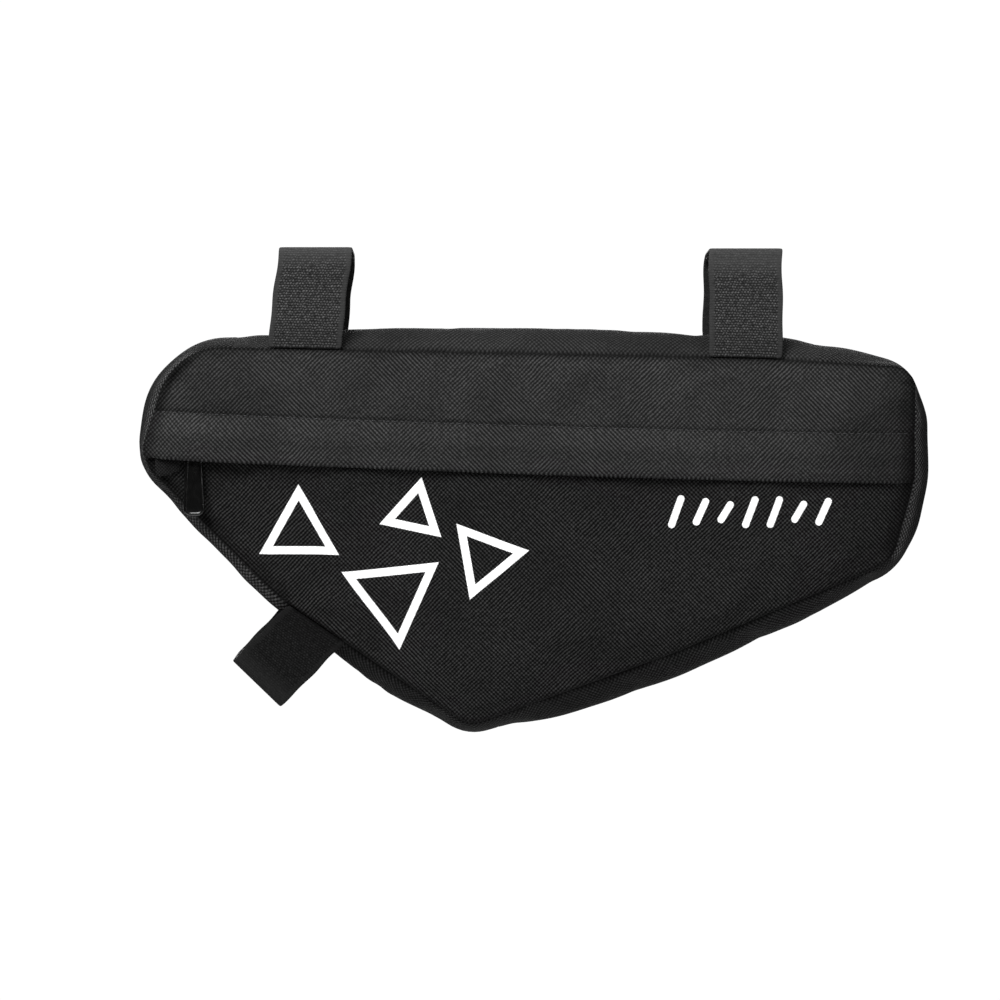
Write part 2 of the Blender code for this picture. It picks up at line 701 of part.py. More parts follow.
def strap_net(path, centre, tube, away, width, lean, seam_away):
    """A strap's outer face: its path carried across its width, its foot following the seam."""
    facing = OUTLINE_NORMALS @ away > 0.5
    rel = OUTLINE_PATH[facing] - centre
    order = np.argsort(rel @ tube)
    across = np.linspace(-0.5, 0.5, STRAP_COLUMNS) * width
    seam = np.interp(across, (rel @ tube)[order], (rel @ away)[order])
    top = path[:, 1].max()
    height = np.clip((path[:, 1] - seam_away) / (top - seam_away), 0, 1)
    shift = (seam - np.interp(0, (rel @ tube)[order], (rel @ away)[order]))[None]
    away_now = path[:, 1:2] + shift * (1 - height[:, None])
    along_now = across[None] + lean * width * height[:, None]
    flat = centre + along_now[..., None] * tube + away_now[..., None] * away
    depth = np.broadcast_to(path[:, 0:1], along_now.shape)
    return np.stack((flat[..., 0], depth, flat[..., 1]), axis=-1)


def make_strap(row, centre, tube, away, radius, width):
    """Two tapes that form one loop: a hook tape from the front seam and a loop tape from the rear."""
    name, lean, peak, back, fold_front, fold_back = row
    centre, tube, away = (np.array(v, float) for v in (centre, tube, away))
    rel = OUTLINE_PATH[OUTLINE_NORMALS @ away > 0.5] - centre
    order = np.argsort(rel @ tube)
    seam = float(np.interp(0, (rel @ tube)[order], (rel @ away)[order]))
    foot = seam + SEAM_GAP * 3
    path = strap_path(radius, foot, peak, back, fold_front, fold_back)
    length = float(np.linalg.norm(np.diff(path, axis=0), axis=1).sum())
    fine = resample(path, np.linspace(0, 1, STRAP_SAMPLES))
    rear_leg = np.linalg.norm(path[-1] - path[-2])
    hook_end = 1 - HOOK_END_ABOVE_SEAM / length
    loop_start = 1 - (rear_leg + radius * 1.2) / length
    hook = fine[: int(STRAP_SAMPLES * hook_end)]
    hook = resample(hook, np.linspace(0, 1, STRAP_STATIONS))
    inner = offset_inward(fine, STRAP_THICKNESS + LAP_GAP)
    inner = inner[int(STRAP_SAMPLES * loop_start):]
    inner = inner[inner[:, 1] > foot]
    loop = resample(inner, np.linspace(0, 1, STRAP_STATIONS * 2 // 3))
    middle = np.array((centre[0], 0, centre[1]))
    for part, route, material in (("hook", hook, HOOK_TAPE), ("loop", loop, LOOP_TAPE)):
        outer = strap_net(route, centre, tube, away, width, lean, foot)
        inner = moved_along_normals(outer, STRAP_THICKNESS, lambda point: point - middle)
        cloth_piece(f"{name}_{part}", outer, inner, material)


def make_straps():
    """Two loops on the top tube and one on the down tube."""
    half = STRAP_SPACING / 2
    top_frame = ((1, 0), (0, 1), TOP_TUBE_RADIUS, TOP_STRAP_WIDTH)
    make_strap(STRAPS[0], (-half, 0), *top_frame)
    make_strap(STRAPS[1], (half, 0), *top_frame)
    slope = (math.cos(DOWN_TUBE_ANGLE), -math.sin(DOWN_TUBE_ANGLE))
    away = (-math.sin(DOWN_TUBE_ANGLE), -math.cos(DOWN_TUBE_ANGLE))
    down_frame = (slope, away, DOWN_TUBE_RADIUS, DOWN_STRAP_WIDTH)
    make_strap(STRAPS[2], (DOWN_STRAP_X, DOWN_STRAP_Z), *down_frame)


make_gusset()
make_front_upper()
make_front_lower()
make_back()
make_zip_tape()
make_zip_coil()
make_slider()
make_pull()
make_end_tab()
make_straps()
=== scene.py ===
# %% [markdown]
# # A bicycle frame bag
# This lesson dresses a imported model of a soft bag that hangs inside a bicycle's frame. The real one
# is sewn from coarse woven cloth: two padded side panels, a band of gusset cloth between them, a
# zip under a rain flap, and three loops of hook-and-loop tape. Each piece is worked out as a
# surface with numpy, settled as cloth, and given a woven finish built from nodes.

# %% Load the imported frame
import math

import bmesh
import bpy
import numpy as np
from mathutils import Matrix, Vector


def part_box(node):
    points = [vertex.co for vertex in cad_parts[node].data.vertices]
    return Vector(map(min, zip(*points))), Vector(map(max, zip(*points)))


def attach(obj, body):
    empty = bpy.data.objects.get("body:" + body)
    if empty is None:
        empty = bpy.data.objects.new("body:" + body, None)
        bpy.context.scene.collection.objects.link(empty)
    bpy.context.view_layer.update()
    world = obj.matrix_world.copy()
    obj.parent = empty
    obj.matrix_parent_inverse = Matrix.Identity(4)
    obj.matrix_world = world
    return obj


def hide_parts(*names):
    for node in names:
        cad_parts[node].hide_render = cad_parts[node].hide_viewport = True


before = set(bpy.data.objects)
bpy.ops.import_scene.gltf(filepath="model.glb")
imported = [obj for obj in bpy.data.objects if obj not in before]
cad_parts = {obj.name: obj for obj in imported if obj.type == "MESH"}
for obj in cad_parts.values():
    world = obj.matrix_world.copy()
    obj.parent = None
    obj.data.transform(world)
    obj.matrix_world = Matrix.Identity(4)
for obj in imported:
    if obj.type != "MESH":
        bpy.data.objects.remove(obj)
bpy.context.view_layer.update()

# %% [markdown]
# ## The sewn outline
# A bag like this starts as a paper pattern: one closed line with rounded corners, which both side
# panels share. The line could be drawn as a curve object. Here it is a short table of corners,
# each with a place as a share of the panel's length and height, a corner radius, and how far the
# gusset bulges there, because a table is easy to read and to change.

# %% The pattern's sizes
PANEL_LENGTH = 0.3292
PANEL_HEIGHT = 0.1584
NOSE_AHEAD = 0.1639
GUSSET_WIDTH = 0.040
GUSSET_BULGE = 0.0112
SEAM_GAP = 0.0003
CLOTH = 0.0016
FLAP_CLOTH = 0.0020
TOP_TUBE_RADIUS = 0.0143
DOWN_TUBE_RADIUS = 0.0159
TUBE_GAP = 0.0005
TOP_SEAM_Z = -(TOP_TUBE_RADIUS + TUBE_GAP + GUSSET_BULGE)

CORNERS = np.array(
    [
        # along, down, radius, bulge at corner, bulge on the next edge
        (0.046, -0.027, 0.177, 0.31, 0.93),
        (0.805, 0.006, 0.600, 0.82, 0.56),
        (1.000, 0.028, 0.063, 0.12, 0.75),
        (1.000, 0.342, 0.250, 0.78, 0.84),
        (0.974, 0.552, 0.088, 0.66, 1.00),
        (0.690, 0.802, 0.900, 1.15, 1.10),
        (0.425, 1.000, 0.076, 0.62, 1.00),
        (0.176, 0.645, 0.760, 0.92, 0.80),
        (0.000, 0.279, 0.101, 0.42, 0.58),
    ]
)
print("The pattern has", len(CORNERS), "corners")


# %% Rounding the corners
def unit(vectors):
    """Vectors scaled to length 1."""
    return vectors / np.maximum(np.linalg.norm(vectors, axis=-1), 1e-12)[..., None]


def travelled(path):
    """The distance along a path at each of its points."""
    return np.concatenate(([0], np.cumsum(np.linalg.norm(np.diff(path, axis=0), axis=1))))


def rounded_path(corners, radii, closed, samples=40):
    """Straight edges joined by arcs that touch both edges.

    An arc of radius r at a corner of angle 2a starts r / tan(a) from the corner, and its centre
    lies r / sin(a) from the corner along the bisector.
    """
    points = []
    for index, radius in enumerate(radii):
        here = corners[index]
        if not closed and index in (0, len(radii) - 1):
            points.append(here[None])
            continue
        before, after = unit(corners[index - 1] - here), unit(corners[(index + 1) % len(radii)] - here)
        half_angle = math.acos(before @ after) / 2
        centre = here + unit(before + after) * radius / math.sin(half_angle)
        start, end = (here + side * radius / math.tan(half_angle) - centre for side in (before, after))
        turn = math.atan2(start[0] * end[1] - start[1] * end[0], start @ end)
        angles = math.atan2(start[1], start[0]) + turn * np.linspace(0, 1, samples)
        points.append(centre + radius * np.column_stack((np.cos(angles), np.sin(angles))))
    path = np.vstack(points)
    return np.vstack((path, path[:1])) if closed else path


def resample(path, shares):
    """Points at the given shares of a path's length, found by linear interpolation."""
    distance = travelled(path)
    wanted = np.asarray(shares) * distance[-1]
    return np.column_stack([np.interp(wanted, distance, column) for column in path.T])


corner_points = np.column_stack(
    (PANEL_LENGTH * CORNERS[:, 0] - NOSE_AHEAD, TOP_SEAM_Z - PANEL_HEIGHT * CORNERS[:, 1])
)
SHARES = np.linspace(0, 1, 3600)
OUTLINE = resample(rounded_path(corner_points, PANEL_HEIGHT * CORNERS[:, 2], True), SHARES)
ahead = unit(np.vstack((OUTLINE[1:], OUTLINE[1:2])) - np.vstack((OUTLINE[-2:-1], OUTLINE[:-1])))
OUTWARD = np.column_stack((-ahead[:, 1], ahead[:, 0]))
PERIMETER = float(travelled(OUTLINE)[-1])
print("The seam is", round(PERIMETER * 1000), "mm long")


# %% The gusset's bulge along the seam
def eased(share):
    """A smooth step: 3 t squared minus 2 t cubed, for t held between 0 and 1."""
    t = np.clip(share, 0, 1)
    return t * t * (3 - 2 * t)


gaps = np.linalg.norm(OUTLINE[None, :-1] - corner_points[:, None], axis=2)
corner_shares = SHARES[gaps.argmin(axis=1)]
corner_shares[1:] += corner_shares[1:] < corner_shares[:-1]
middles = (corner_shares + np.append(corner_shares[1:], corner_shares[0] + 1)) / 2
knots = np.column_stack((corner_shares, middles)).ravel()
values = CORNERS[:, 3:5].ravel()
knots = np.concatenate((knots - 1, knots, knots + 1))
values = np.tile(values, 3)
below = np.searchsorted(knots, SHARES, side="right") - 1
blend = eased((SHARES - knots[below]) / (knots[below + 1] - knots[below]))
BULGE = GUSSET_BULGE * (values[below] * (1 - blend) + values[below + 1] * blend)


def at_outline(shares):
    """The outline's points, outward directions and bulges at the given shares."""
    wrapped = np.mod(shares, 1.0)
    columns = np.column_stack((OUTLINE, OUTWARD, BULGE))
    found = np.column_stack([np.interp(wrapped, SHARES, column) for column in columns.T])
    return found[:, :2], found[:, 2:4], found[:, 4]


print("The gusset stands out", round(BULGE.min() * 1000, 1), "to", round(BULGE.max() * 1000, 1), "mm")

# %% [markdown]
# ## The side panels' surface
# A padded panel is flat when it is cut. Once it is sewn and hung it crowns: it rises steeply from
# its seam and then flattens, and it is highest along the flap's edge, where the zip is. A height
# function of x and z says this in one line, and every panel shares it.

# %% Crown and seam
PANEL_CROWN = 0.0060
CROWN_REACH = 0.011
RIDGE_REACH_UP = 0.060
RIDGE_REACH_DOWN = 0.120
FLAP_EDGE_DOWN = (0.280, 0.343)
FLAP_EDGE_SAG = 0.0013
FLAP_HEIGHT = 0.0215
SEAM_ROLL = 0.0016
SEWN_BAND = 0.003


def flap_edge_z(x):
    """Height of the flap's lower edge: a straight line with a parabola's sag."""
    share = (np.asarray(x) + NOSE_AHEAD) / PANEL_LENGTH
    down = FLAP_EDGE_DOWN[0] + (FLAP_EDGE_DOWN[1] - FLAP_EDGE_DOWN[0]) * share
    return TOP_SEAM_Z - PANEL_HEIGHT * down - FLAP_EDGE_SAG * 4 * share * (1 - share)


def nearest_seam(x, z):
    """The distance to the outline, and the share of the outline that is nearest.

    The distance is taken along the outline's own outward direction, so it is 0 all along the seam.
    """
    points = np.column_stack((np.ravel(x), np.ravel(z)))
    seam = OUTLINE[::6]
    squares = (points**2).sum(1)[:, None] + (seam**2).sum(1)[None] - 2 * points @ seam.T
    index = squares.argmin(axis=1)
    distance = np.clip(((seam[index] - points) * OUTWARD[::6][index]).sum(axis=1), 0, None)
    return distance.reshape(np.shape(x)), SHARES[::6][index].reshape(np.shape(x))


def crown(x, z, distance):
    """Crown height times a ridge that falls to half away from the flap's edge, times 1 - e^(-d/reach)."""
    above = z - flap_edge_z(x)
    fall = np.where(above > 0, above / RIDGE_REACH_UP, -above / RIDGE_REACH_DOWN)
    return PANEL_CROWN * (1 - 0.5 * np.clip(fall, 0, 1)) * (1 - np.exp(-distance / CROWN_REACH))


def inner_depth(x, z):
    """Distance from the bag's middle plane to a side panel's inner face."""
    return GUSSET_WIDTH / 2 + SEAM_GAP + crown(x, z, nearest_seam(x, z)[0])


def rolled(distance):
    """How far cloth turns in at its edge: the gap between a quarter circle and its tangent."""
    inside = np.clip(1 - distance / SEAM_ROLL, 0, 1)
    return SEAM_ROLL * (1 - np.sqrt(1 - inside**2))


def bell(value, centre, width):
    """1 at the centre and fading on both sides: e^(-((value - centre) / width) squared)."""
    return np.exp(-(((value - centre) / width) ** 2))


print("The flap's edge falls", round(float(flap_edge_z(-0.16) - flap_edge_z(0.16)) * 1000, 1), "mm")

# %% [markdown]
# ## Puckers and waves
# Thread pulls a seam a little tighter than the cloth beside it, so the cloth puckers there. A
# noise texture could move the surface, but a sum of a few sine waves with seeded phases gives the
# same dents on every run, and it can follow the seam's own length.

# %% Small folds from sine waves
PANEL_WAVES = 0.00055


def waves(place, lengths, seed):
    """A mean of sine waves of the given wavelengths, each with its own seeded phase and strength."""
    own = np.random.default_rng(seed)
    phases = own.uniform(0, 2 * math.pi, len(lengths))
    strengths = own.uniform(0.6, 1.0, len(lengths))
    angles = np.asarray(place)[..., None] * (2 * math.pi / np.asarray(lengths)) + phases
    return (np.sin(angles) * strengths).sum(axis=-1) / strengths.sum()


def seam_puckers(share, distance, height=0.00045, reach=0.009, seed=11):
    """Puckers along the seam that fade with distance from it: height times waves times e^(-d/reach)."""
    along = waves(np.asarray(share) * PERIMETER, (0.0137, 0.0191, 0.0311, 0.0523), seed)
    return height * along * np.exp(-distance / reach) * (1 - np.exp(-distance / 0.0015))


def soft_waves(x, z):
    """Long shallow dents over a padded panel: two slanting sets of waves added together."""
    one, two = waves(x + 0.6 * z, (0.083, 0.131, 0.057), 5), waves(z - 0.4 * x, (0.071, 0.103), 6)
    return PANEL_WAVES * (one + 0.6 * two)


print("Puckers run along", round(PERIMETER, 2), "m of seam")

# %% [markdown]
# ## From nets of points to cloth
# A net is a grid of points, rows by columns. Cloth has a thickness and a soft edge, so each piece
# takes an outer net and an inner one, and a half-round strip joins them round their edges. The
# Solidify modifier would give a square edge, which looks like cut card.

# %% Nets and meshes
def coons(top, bottom, left, right):
    """A net between four edges: the sum of both straight blends, minus the blend of the corners."""
    v, u = np.linspace(0, 1, len(left))[:, None, None], np.linspace(0, 1, len(top))[None, :, None]
    across = (1 - v) * top[None] + v * bottom[None]
    down = (1 - u) * left[:, None] + u * right[:, None]
    corners = (1 - v) * ((1 - u) * top[0] + u * top[-1]) + v * ((1 - u) * bottom[0] + u * bottom[-1])
    return relaxed_corners(across + down - corners)


CORNER_PASSES = 160
CORNER_REACH = 11


def relaxed_corners(net):
    """Moves points near a net's corners to the mean of their four neighbours, so that none fold over.

    A patch's corner on a smooth seam is flat, and a Coons patch folds there.
    """
    from_row = np.minimum(np.arange(net.shape[0]), np.arange(net.shape[0])[::-1])[:, None]
    from_column = np.minimum(np.arange(net.shape[1]), np.arange(net.shape[1])[::-1])[None]
    weight = np.exp(-((from_row**2 + from_column**2) / CORNER_REACH**2))[1:-1, 1:-1, None]
    for _ in range(CORNER_PASSES):
        mean = (net[:-2, 1:-1] + net[2:, 1:-1] + net[1:-1, :-2] + net[1:-1, 2:]) / 4
        net[1:-1, 1:-1] += weight * (mean - net[1:-1, 1:-1])
    return net


def denser_ends(count):
    """Shares from 0 to 1 that lie closer together near both ends: 0.4 even and 0.6 eased."""
    share = np.linspace(0, 1, count)
    return 0.4 * share + 0.6 * eased(share)


def normals_of(net):
    """Directions square to a net: the cross product of its two slopes."""
    return unit(np.cross(np.gradient(net, axis=0), np.gradient(net, axis=1)))


def net_border(net):
    """The values round a net's edge, in order."""
    return np.concatenate((net[0], net[1:-1, -1], net[-1, ::-1], net[-2:0:-1, 0]))


def net_faces(rows, columns):
    """Quads between neighbouring points of a grid numbered row by row."""
    first = (np.arange(rows - 1)[:, None] * columns + np.arange(columns - 1)).ravel()
    return np.column_stack((first, first + 1, first + columns + 1, first + columns))


def add_object(name, points, faces):
    """A new mesh object in the scene, from an array of points and an array or list of faces."""
    mesh = bpy.data.meshes.new(name)
    faces = faces if isinstance(faces, list) else faces.tolist()
    mesh.from_pydata(points.reshape(-1, 3).tolist(), [], faces)
    piece = bpy.data.objects.new(name, mesh)
    bpy.context.scene.collection.objects.link(piece)
    return piece


def make_mesh(name, points, faces, material, uv=None, tone=None):
    """A smooth piece whose faces turn outwards, with its places on the cloth and its painted light and shade.
    """
    piece = add_object(name, points, faces)
    mesh = piece.data
    if uv is not None:
        corner = np.empty(len(mesh.loops), dtype=np.int32)
        mesh.loops.foreach_get("vertex_index", corner)
        layer = mesh.uv_layers.new(name="cloth")
        layer.data.foreach_set("uv", uv[corner].astype(np.float32).ravel())
    if tone is not None:
        layer = mesh.attributes.new("painted_light_and_shade", "FLOAT", "POINT")
        layer.data.foreach_set("value", tone.astype(np.float32).ravel())
    shape = bmesh.new()
    shape.from_mesh(mesh)
    bmesh.ops.remove_doubles(shape, verts=shape.verts, dist=1e-6)
    bmesh.ops.recalc_face_normals(shape, faces=shape.faces)
    shape.to_mesh(mesh)
    shape.free()
    mesh.materials.append(material)
    mesh.shade_smooth()
    return piece


EDGE_RINGS = 3


def cloth_shell(name, outer, thickness, facing, uv, material, tone=None):
    """A closed piece of cloth: a net, the same net one thickness behind it, and a half-round edge.

    The edge's points are the middle of both nets, plus half their gap times cos t, plus half the
    thickness times sin t away from the cloth, for t from 0 to half a turn. Away is square to the
    edge's line and to the cloth. A net's corners can be flat, so they take their neighbours' normals.
    """
    rows, columns = outer.shape[:2]
    count = rows * columns
    square = normals_of(outer)
    square[[0, 0, -1, -1], [0, -1, 0, -1]] = square[[1, 1, -2, -2], [1, -2, 1, -2]]
    if square[rows // 2, columns // 2] @ np.asarray(facing, float) < 0:
        square = -square
    inner = outer - square * thickness
    nearer = outer[np.clip(np.arange(rows), 1, rows - 2)][:, np.clip(np.arange(columns), 1, columns - 2)]
    edge, edge_in = net_border(outer), net_border(inner)
    away = unit(np.cross(np.roll(edge, -1, axis=0) - np.roll(edge, 1, axis=0), net_border(square)))
    away *= np.sign(((edge - net_border(nearer)) * away).sum())
    t = np.linspace(0, math.pi, EDGE_RINGS + 2)[1:-1, None, None]
    rings = (edge + edge_in) / 2 + (edge - edge_in) / 2 * np.cos(t) + away * thickness / 2 * np.sin(t)
    border = net_border(np.arange(count).reshape(rows, columns))
    ring_numbers = 2 * count + np.arange(rings.size // 3).reshape(EDGE_RINGS, -1)
    loops = np.vstack((border, ring_numbers, border + count))
    following = np.roll(loops, -1, axis=1)
    sides = np.stack((loops[:-1], following[:-1], following[1:], loops[1:]), axis=-1).reshape(-1, 4)
    quads = net_faces(rows, columns)
    faces = np.vstack((quads, quads[:, ::-1] + count, sides))
    points = np.vstack((outer.reshape(-1, 3), inner.reshape(-1, 3), rings.reshape(-1, 3)))

    def on_every_point(values):
        """A net's values on its outer face, its inner face and its edge."""
        values = values.reshape(rows, columns, -1)
        face = values.reshape(count, -1)
        return np.vstack((face, face, np.tile(net_border(values), (EDGE_RINGS, 1))))

    tones = None if tone is None else on_every_point(tone)
    return make_mesh(name, points, faces, material, on_every_point(uv), tones)


def finish_piece(piece, body, nodes=(), levels=1):
    """Smooths a piece and hands it to its body and the solids it stands for."""
    if levels:
        smooth = piece.modifiers.new("smooth", "SUBSURF")
        smooth.levels = smooth.render_levels = levels
    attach(piece, body)
    if nodes:
        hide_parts(*nodes)
    print(piece.name, "has", len(piece.data.polygons), "faces before smoothing")


# %% [markdown]
# ## Letting the cloth settle
# Padding presses a panel outwards and its seams hold it. Sculpting could fake that, but Blender's
# cloth solver finds the small buckles by itself: the net's sewn points are pinned, the cloth is
# made a touch larger than its frame, and a light pressure pushes it out for twenty frames. The
# move is capped so that the piece stays in its place.

# %% The cloth solver
SETTLING_FRAMES = 20


def settle(net, held, pressure, slack, cap=0.0016):
    """Runs cloth on a net whose held points stay, and returns the net with its capped move added."""
    cloth_object = add_object("settling", net, net_faces(*net.shape[:2]))
    sewn = cloth_object.vertex_groups.new(name="sewn")
    sewn.add(np.flatnonzero(held.ravel()).tolist(), 1.0, "REPLACE")
    solver = cloth_object.modifiers.new("cloth", "CLOTH")
    solver.point_cache.frame_end = SETTLING_FRAMES
    settings = solver.settings
    settings.vertex_group_mass = "sewn"
    settings.quality = 6
    settings.mass = 0.3
    settings.tension_stiffness = settings.compression_stiffness = 40
    settings.shear_stiffness = 20
    settings.bending_stiffness = 4
    settings.shrink_min = -slack
    settings.use_pressure = True
    settings.uniform_pressure_force = pressure
    settings.effector_weights.gravity = 0
    for frame_number in range(1, SETTLING_FRAMES + 1):
        bpy.context.scene.frame_set(frame_number)
    solved = cloth_object.evaluated_get(bpy.context.evaluated_depsgraph_get())
    points = np.empty(net.size)
    solved.data.vertices.foreach_get("co", points)
    bpy.data.objects.remove(cloth_object)
    bpy.context.scene.frame_set(1)
    move = points.reshape(net.shape) - net
    length = np.linalg.norm(move, axis=2)[..., None]
    move *= np.minimum(1, cap / np.maximum(length, 1e-9))
    print("The cloth moved by up to", round(float(length.max()) * 1000, 2), "mm")
    return net + move


# %% [markdown]
# ## Node helpers
# Materials here are built from arithmetic on a surface's own coordinates. Wiring each Math node by
# hand would fill pages, so a node's output is wrapped as a field. Fields are added, subtracted,
# multiplied and divided like numbers, and each sign adds its Math node.

# %% Wiring nodes
class Field:
    """A node's output, and the tree it belongs to."""

    def __init__(self, tree, socket):
        self.tree, self.socket = tree, socket

    def __add__(self, other):
        return calc("ADD", self, other)

    def __sub__(self, other):
        return calc("SUBTRACT", self, other)

    def __rsub__(self, other):
        return calc("SUBTRACT", other, self)

    def __mul__(self, other):
        return calc("MULTIPLY", self, other)

    def __truediv__(self, other):
        return calc("DIVIDE", self, other)


def put(socket, value):
    """Links a field to a socket, or sets the socket's number or colour."""
    if isinstance(value, Field):
        value.tree.links.new(value.socket, socket)
    else:
        socket.default_value = value


def add_node(tree, kind, output, inputs=(), **settings):
    """A node with its settings and its inputs filled in. One of its outputs comes back as a field."""
    node = tree.nodes.new("ShaderNode" + kind)
    for title, value in settings.items():
        setattr(node, title, value)
    for title, value in dict(inputs).items():
        put(node.inputs[title], value)
    return Field(tree, node.outputs[output])


def calc(operation, *values, clamp=False):
    """A Math node."""
    tree = next(value.tree for value in values if isinstance(value, Field))
    return add_node(tree, "Math", 0, enumerate(values), operation=operation, use_clamp=clamp)


def vector_calc(operation, *values):
    """A Vector Math node."""
    output = "Value" if operation in ("LENGTH", "DOT_PRODUCT") else "Vector"
    return add_node(values[0].tree, "VectorMath", output, enumerate(values), operation=operation)


def noise(place, scale, detail=2.0, roughness=0.5):
    """A Noise Texture at a place, with its scale in turns a metre."""
    inputs = {"Vector": place, "Scale": scale, "Detail": detail, "Roughness": roughness}
    return add_node(place.tree, "TexNoise", "Fac", inputs)


def remap(value, low, high, to_low, to_high):
    """A Map Range node that holds its result between its new limits."""
    return add_node(value.tree, "MapRange", 0, enumerate((value, low, high, to_low, to_high)))


def split(place):
    """A place's x, y and z."""
    tree, node = place.tree, place.tree.nodes.new("ShaderNodeSeparateXYZ")
    put(node.inputs[0], place)
    return [Field(tree, output) for output in node.outputs]


def new_group(name, places, numbers, outputs):
    """A shader node group with named sockets: vector inputs, numbers with defaults, number outputs."""
    tree = bpy.data.node_groups.new(name, "ShaderNodeTree")
    for title in places:
        tree.interface.new_socket(title, in_out="INPUT", socket_type="NodeSocketVector")
    for title, default in numbers.items():
        socket = tree.interface.new_socket(title, in_out="INPUT", socket_type="NodeSocketFloat")
        socket.default_value = default
    for title in outputs:
        tree.interface.new_socket(title, in_out="OUTPUT", socket_type="NodeSocketFloat")
    given = {socket.name: Field(tree, socket) for socket in tree.nodes.new("NodeGroupInput").outputs}
    return tree, given, tree.nodes.new("NodeGroupOutput").inputs


def use_group(group, values):
    """Puts a node group where its place comes from, and returns its outputs as fields."""
    tree = values["Place"].tree
    node = tree.nodes.new("ShaderNodeGroup")
    node.node_tree = group
    for title, value in values.items():
        put(node.inputs[title], value)
    return {socket.name: Field(tree, socket) for socket in node.outputs}


print("Helpers are ready")

# %% [markdown]
# ## Oxford weave
# The cloth is a plain weave of thick yarn, about a millimetre apart. Each crossing is a small pillow,
# and the bright ones lie on a slanting lattice: the sum of two sets of slanting waves. Where one set
# is stronger, the pillows join into lines, and the stronger set changes from patch to patch. A
# picture of cloth could be tiled over the bag, but a node group has no limit of detail and every
# piece can share it.

# %% The weave group
weave, given, result = new_group(
    "oxford_weave", ["Place"], {"Pitch": 0.0009, "Slant": 0.5, "Contrast": 1.0}, ["Height", "Shade"]
)
place = given["Place"]
across, along, _ = split(place)
wander = (noise(place, 75.0, 4.0, 0.65) - 0.5) * 1.5
warp = across / given["Pitch"] + wander
weft = along / given["Pitch"] - wander
falling = calc("COSINE", (warp + weft) * math.pi)
rising = calc("COSINE", (warp - weft) * math.pi) * -1.0
lean = remap(noise(place, 26.0, 2.0), 0.38, 0.62, -1.0, 1.0) * given["Slant"] * 0.5
crossings = rising * (lean + 0.5) + falling * (0.5 - lean)
fibre = noise(place, 1300.0, 2.0, 0.7) - 0.5 + (noise(place, 520.0, 2.0, 0.6) - 0.5) * 0.9
light = remap(crossings, -0.55, 0.75, 0.0, 1.0) + fibre * 0.9
light = calc("POWER", calc("MAXIMUM", light, 0.0), 1.5)
put(result["Height"], light)
put(result["Shade"], (light * 2.5 - 0.93) * given["Contrast"] + 1.0)
print("The weave group has", len(weave.nodes), "nodes")

# %% [markdown]
# ## The cloths
# Every cloth of the bag is the same black polyester, yet each piece is given its own grey, partly as
# painted light and shade for how it faces the light. One function makes them all: base colour times
# the weave's shade times a slow drift, with painted shade along the seams and, on the gussets, a painted
# highlight beside them, a high roughness with little gloss, and a bump from the weave's height.

# %% A woven material
PITCH = 0.00092
FLAP_PITCH = 0.00094
YARN_BUMP = 0.00012


def cloth_place(tree):
    """Where a point lies on the flat cloth, in metres, from the piece's own map."""
    return add_node(tree, "UVMap", 0, uv_map="cloth")


def object_place(tree):
    """Where a point lies in space, in metres."""
    return add_node(tree, "TexCoord", "Object")


def tinted(colour, factor):
    """A colour times a grey value."""
    tree = factor.tree
    grey = add_node(tree, "CombineColor", 0, {0: factor, 1: factor, 2: factor})
    inputs = {"Factor": 1.0, 6: (*colour, 1.0), 7: grey}
    return add_node(tree, "Mix", 2, inputs, data_type="RGBA", blend_type="MULTIPLY")


def painted_light_and_shade(tree):
    """A factor from the piece's painted light and shade: mostly painted shade at the seams and a mottled
    painted highlight where the gusset's edge turns to the light. Values above 0 lighten, below 0 darken.
    """
    tone = add_node(tree, "Attribute", "Fac", attribute_name="painted_light_and_shade")
    grain = noise(cloth_place(tree), 1150.0, 3.0, 0.8)
    pale = calc("MAXIMUM", tone, 0.0) * remap(grain, 0.38, 0.62, 0.10, 1.9)
    dark = calc("MINIMUM", tone, 0.0) * remap(grain, 0.38, 0.62, 0.75, 1.1) + 1.0
    return calc("MAXIMUM", pale + dark, 0.06)


def new_material(name, roughness, specular):
    """A material, its node tree and the inputs of its Principled shader."""
    material = bpy.data.materials.new(name)
    material.use_nodes = True
    inputs = material.node_tree.nodes["Principled BSDF"].inputs
    inputs["Roughness"].default_value = roughness
    inputs["Specular IOR Level"].default_value = specular
    return material, material.node_tree, inputs


def finish_with(inputs, colour, roughness, height, distance):
    """Feeds a shader: its base colour, its roughness and a bump of the given height."""
    put(inputs["Base Color"], colour)
    put(inputs["Roughness"], roughness)
    put(inputs["Normal"], add_node(height.tree, "Bump", 0, {"Distance": distance, "Height": height}))


def woven(name, grey, slant=0.5, pitch=PITCH, contrast=1.0, sewn=True, ink=None):
    """Black yarn in a plain weave, with slow changes of depth over the piece.

    Where it has ink, white ink covers the yarn and thins out in the hollows of the weave.
    """
    material, tree, inputs = new_material(name, 0.9, 0.06)
    place = cloth_place(tree)
    out = use_group(weave, {"Place": place, "Pitch": pitch, "Slant": slant, "Contrast": contrast})
    factor = out["Shade"] * remap(noise(place, 22.0, 4.0, 0.6), 0.3, 0.7, 0.78, 1.22)
    if sewn:
        factor = factor * painted_light_and_shade(tree)
    colour = tinted((grey, grey, grey), factor)
    roughness, height = remap(out["Shade"], 0.3, 1.2, 0.95, 0.80), out["Height"]
    if ink:
        cover = ink(place) * remap(out["Height"], 0.0, 0.35, 0.80, 1.0)
        colour = add_node(tree, "Mix", 2, {"Factor": cover, 6: colour, 7: INK_WHITE}, data_type="RGBA")
        roughness, height = remap(cover, 0.0, 1.0, 0.90, 0.60), cover * 0.25 + out["Height"]
    finish_with(inputs, colour, roughness, height, YARN_BUMP)
    return material
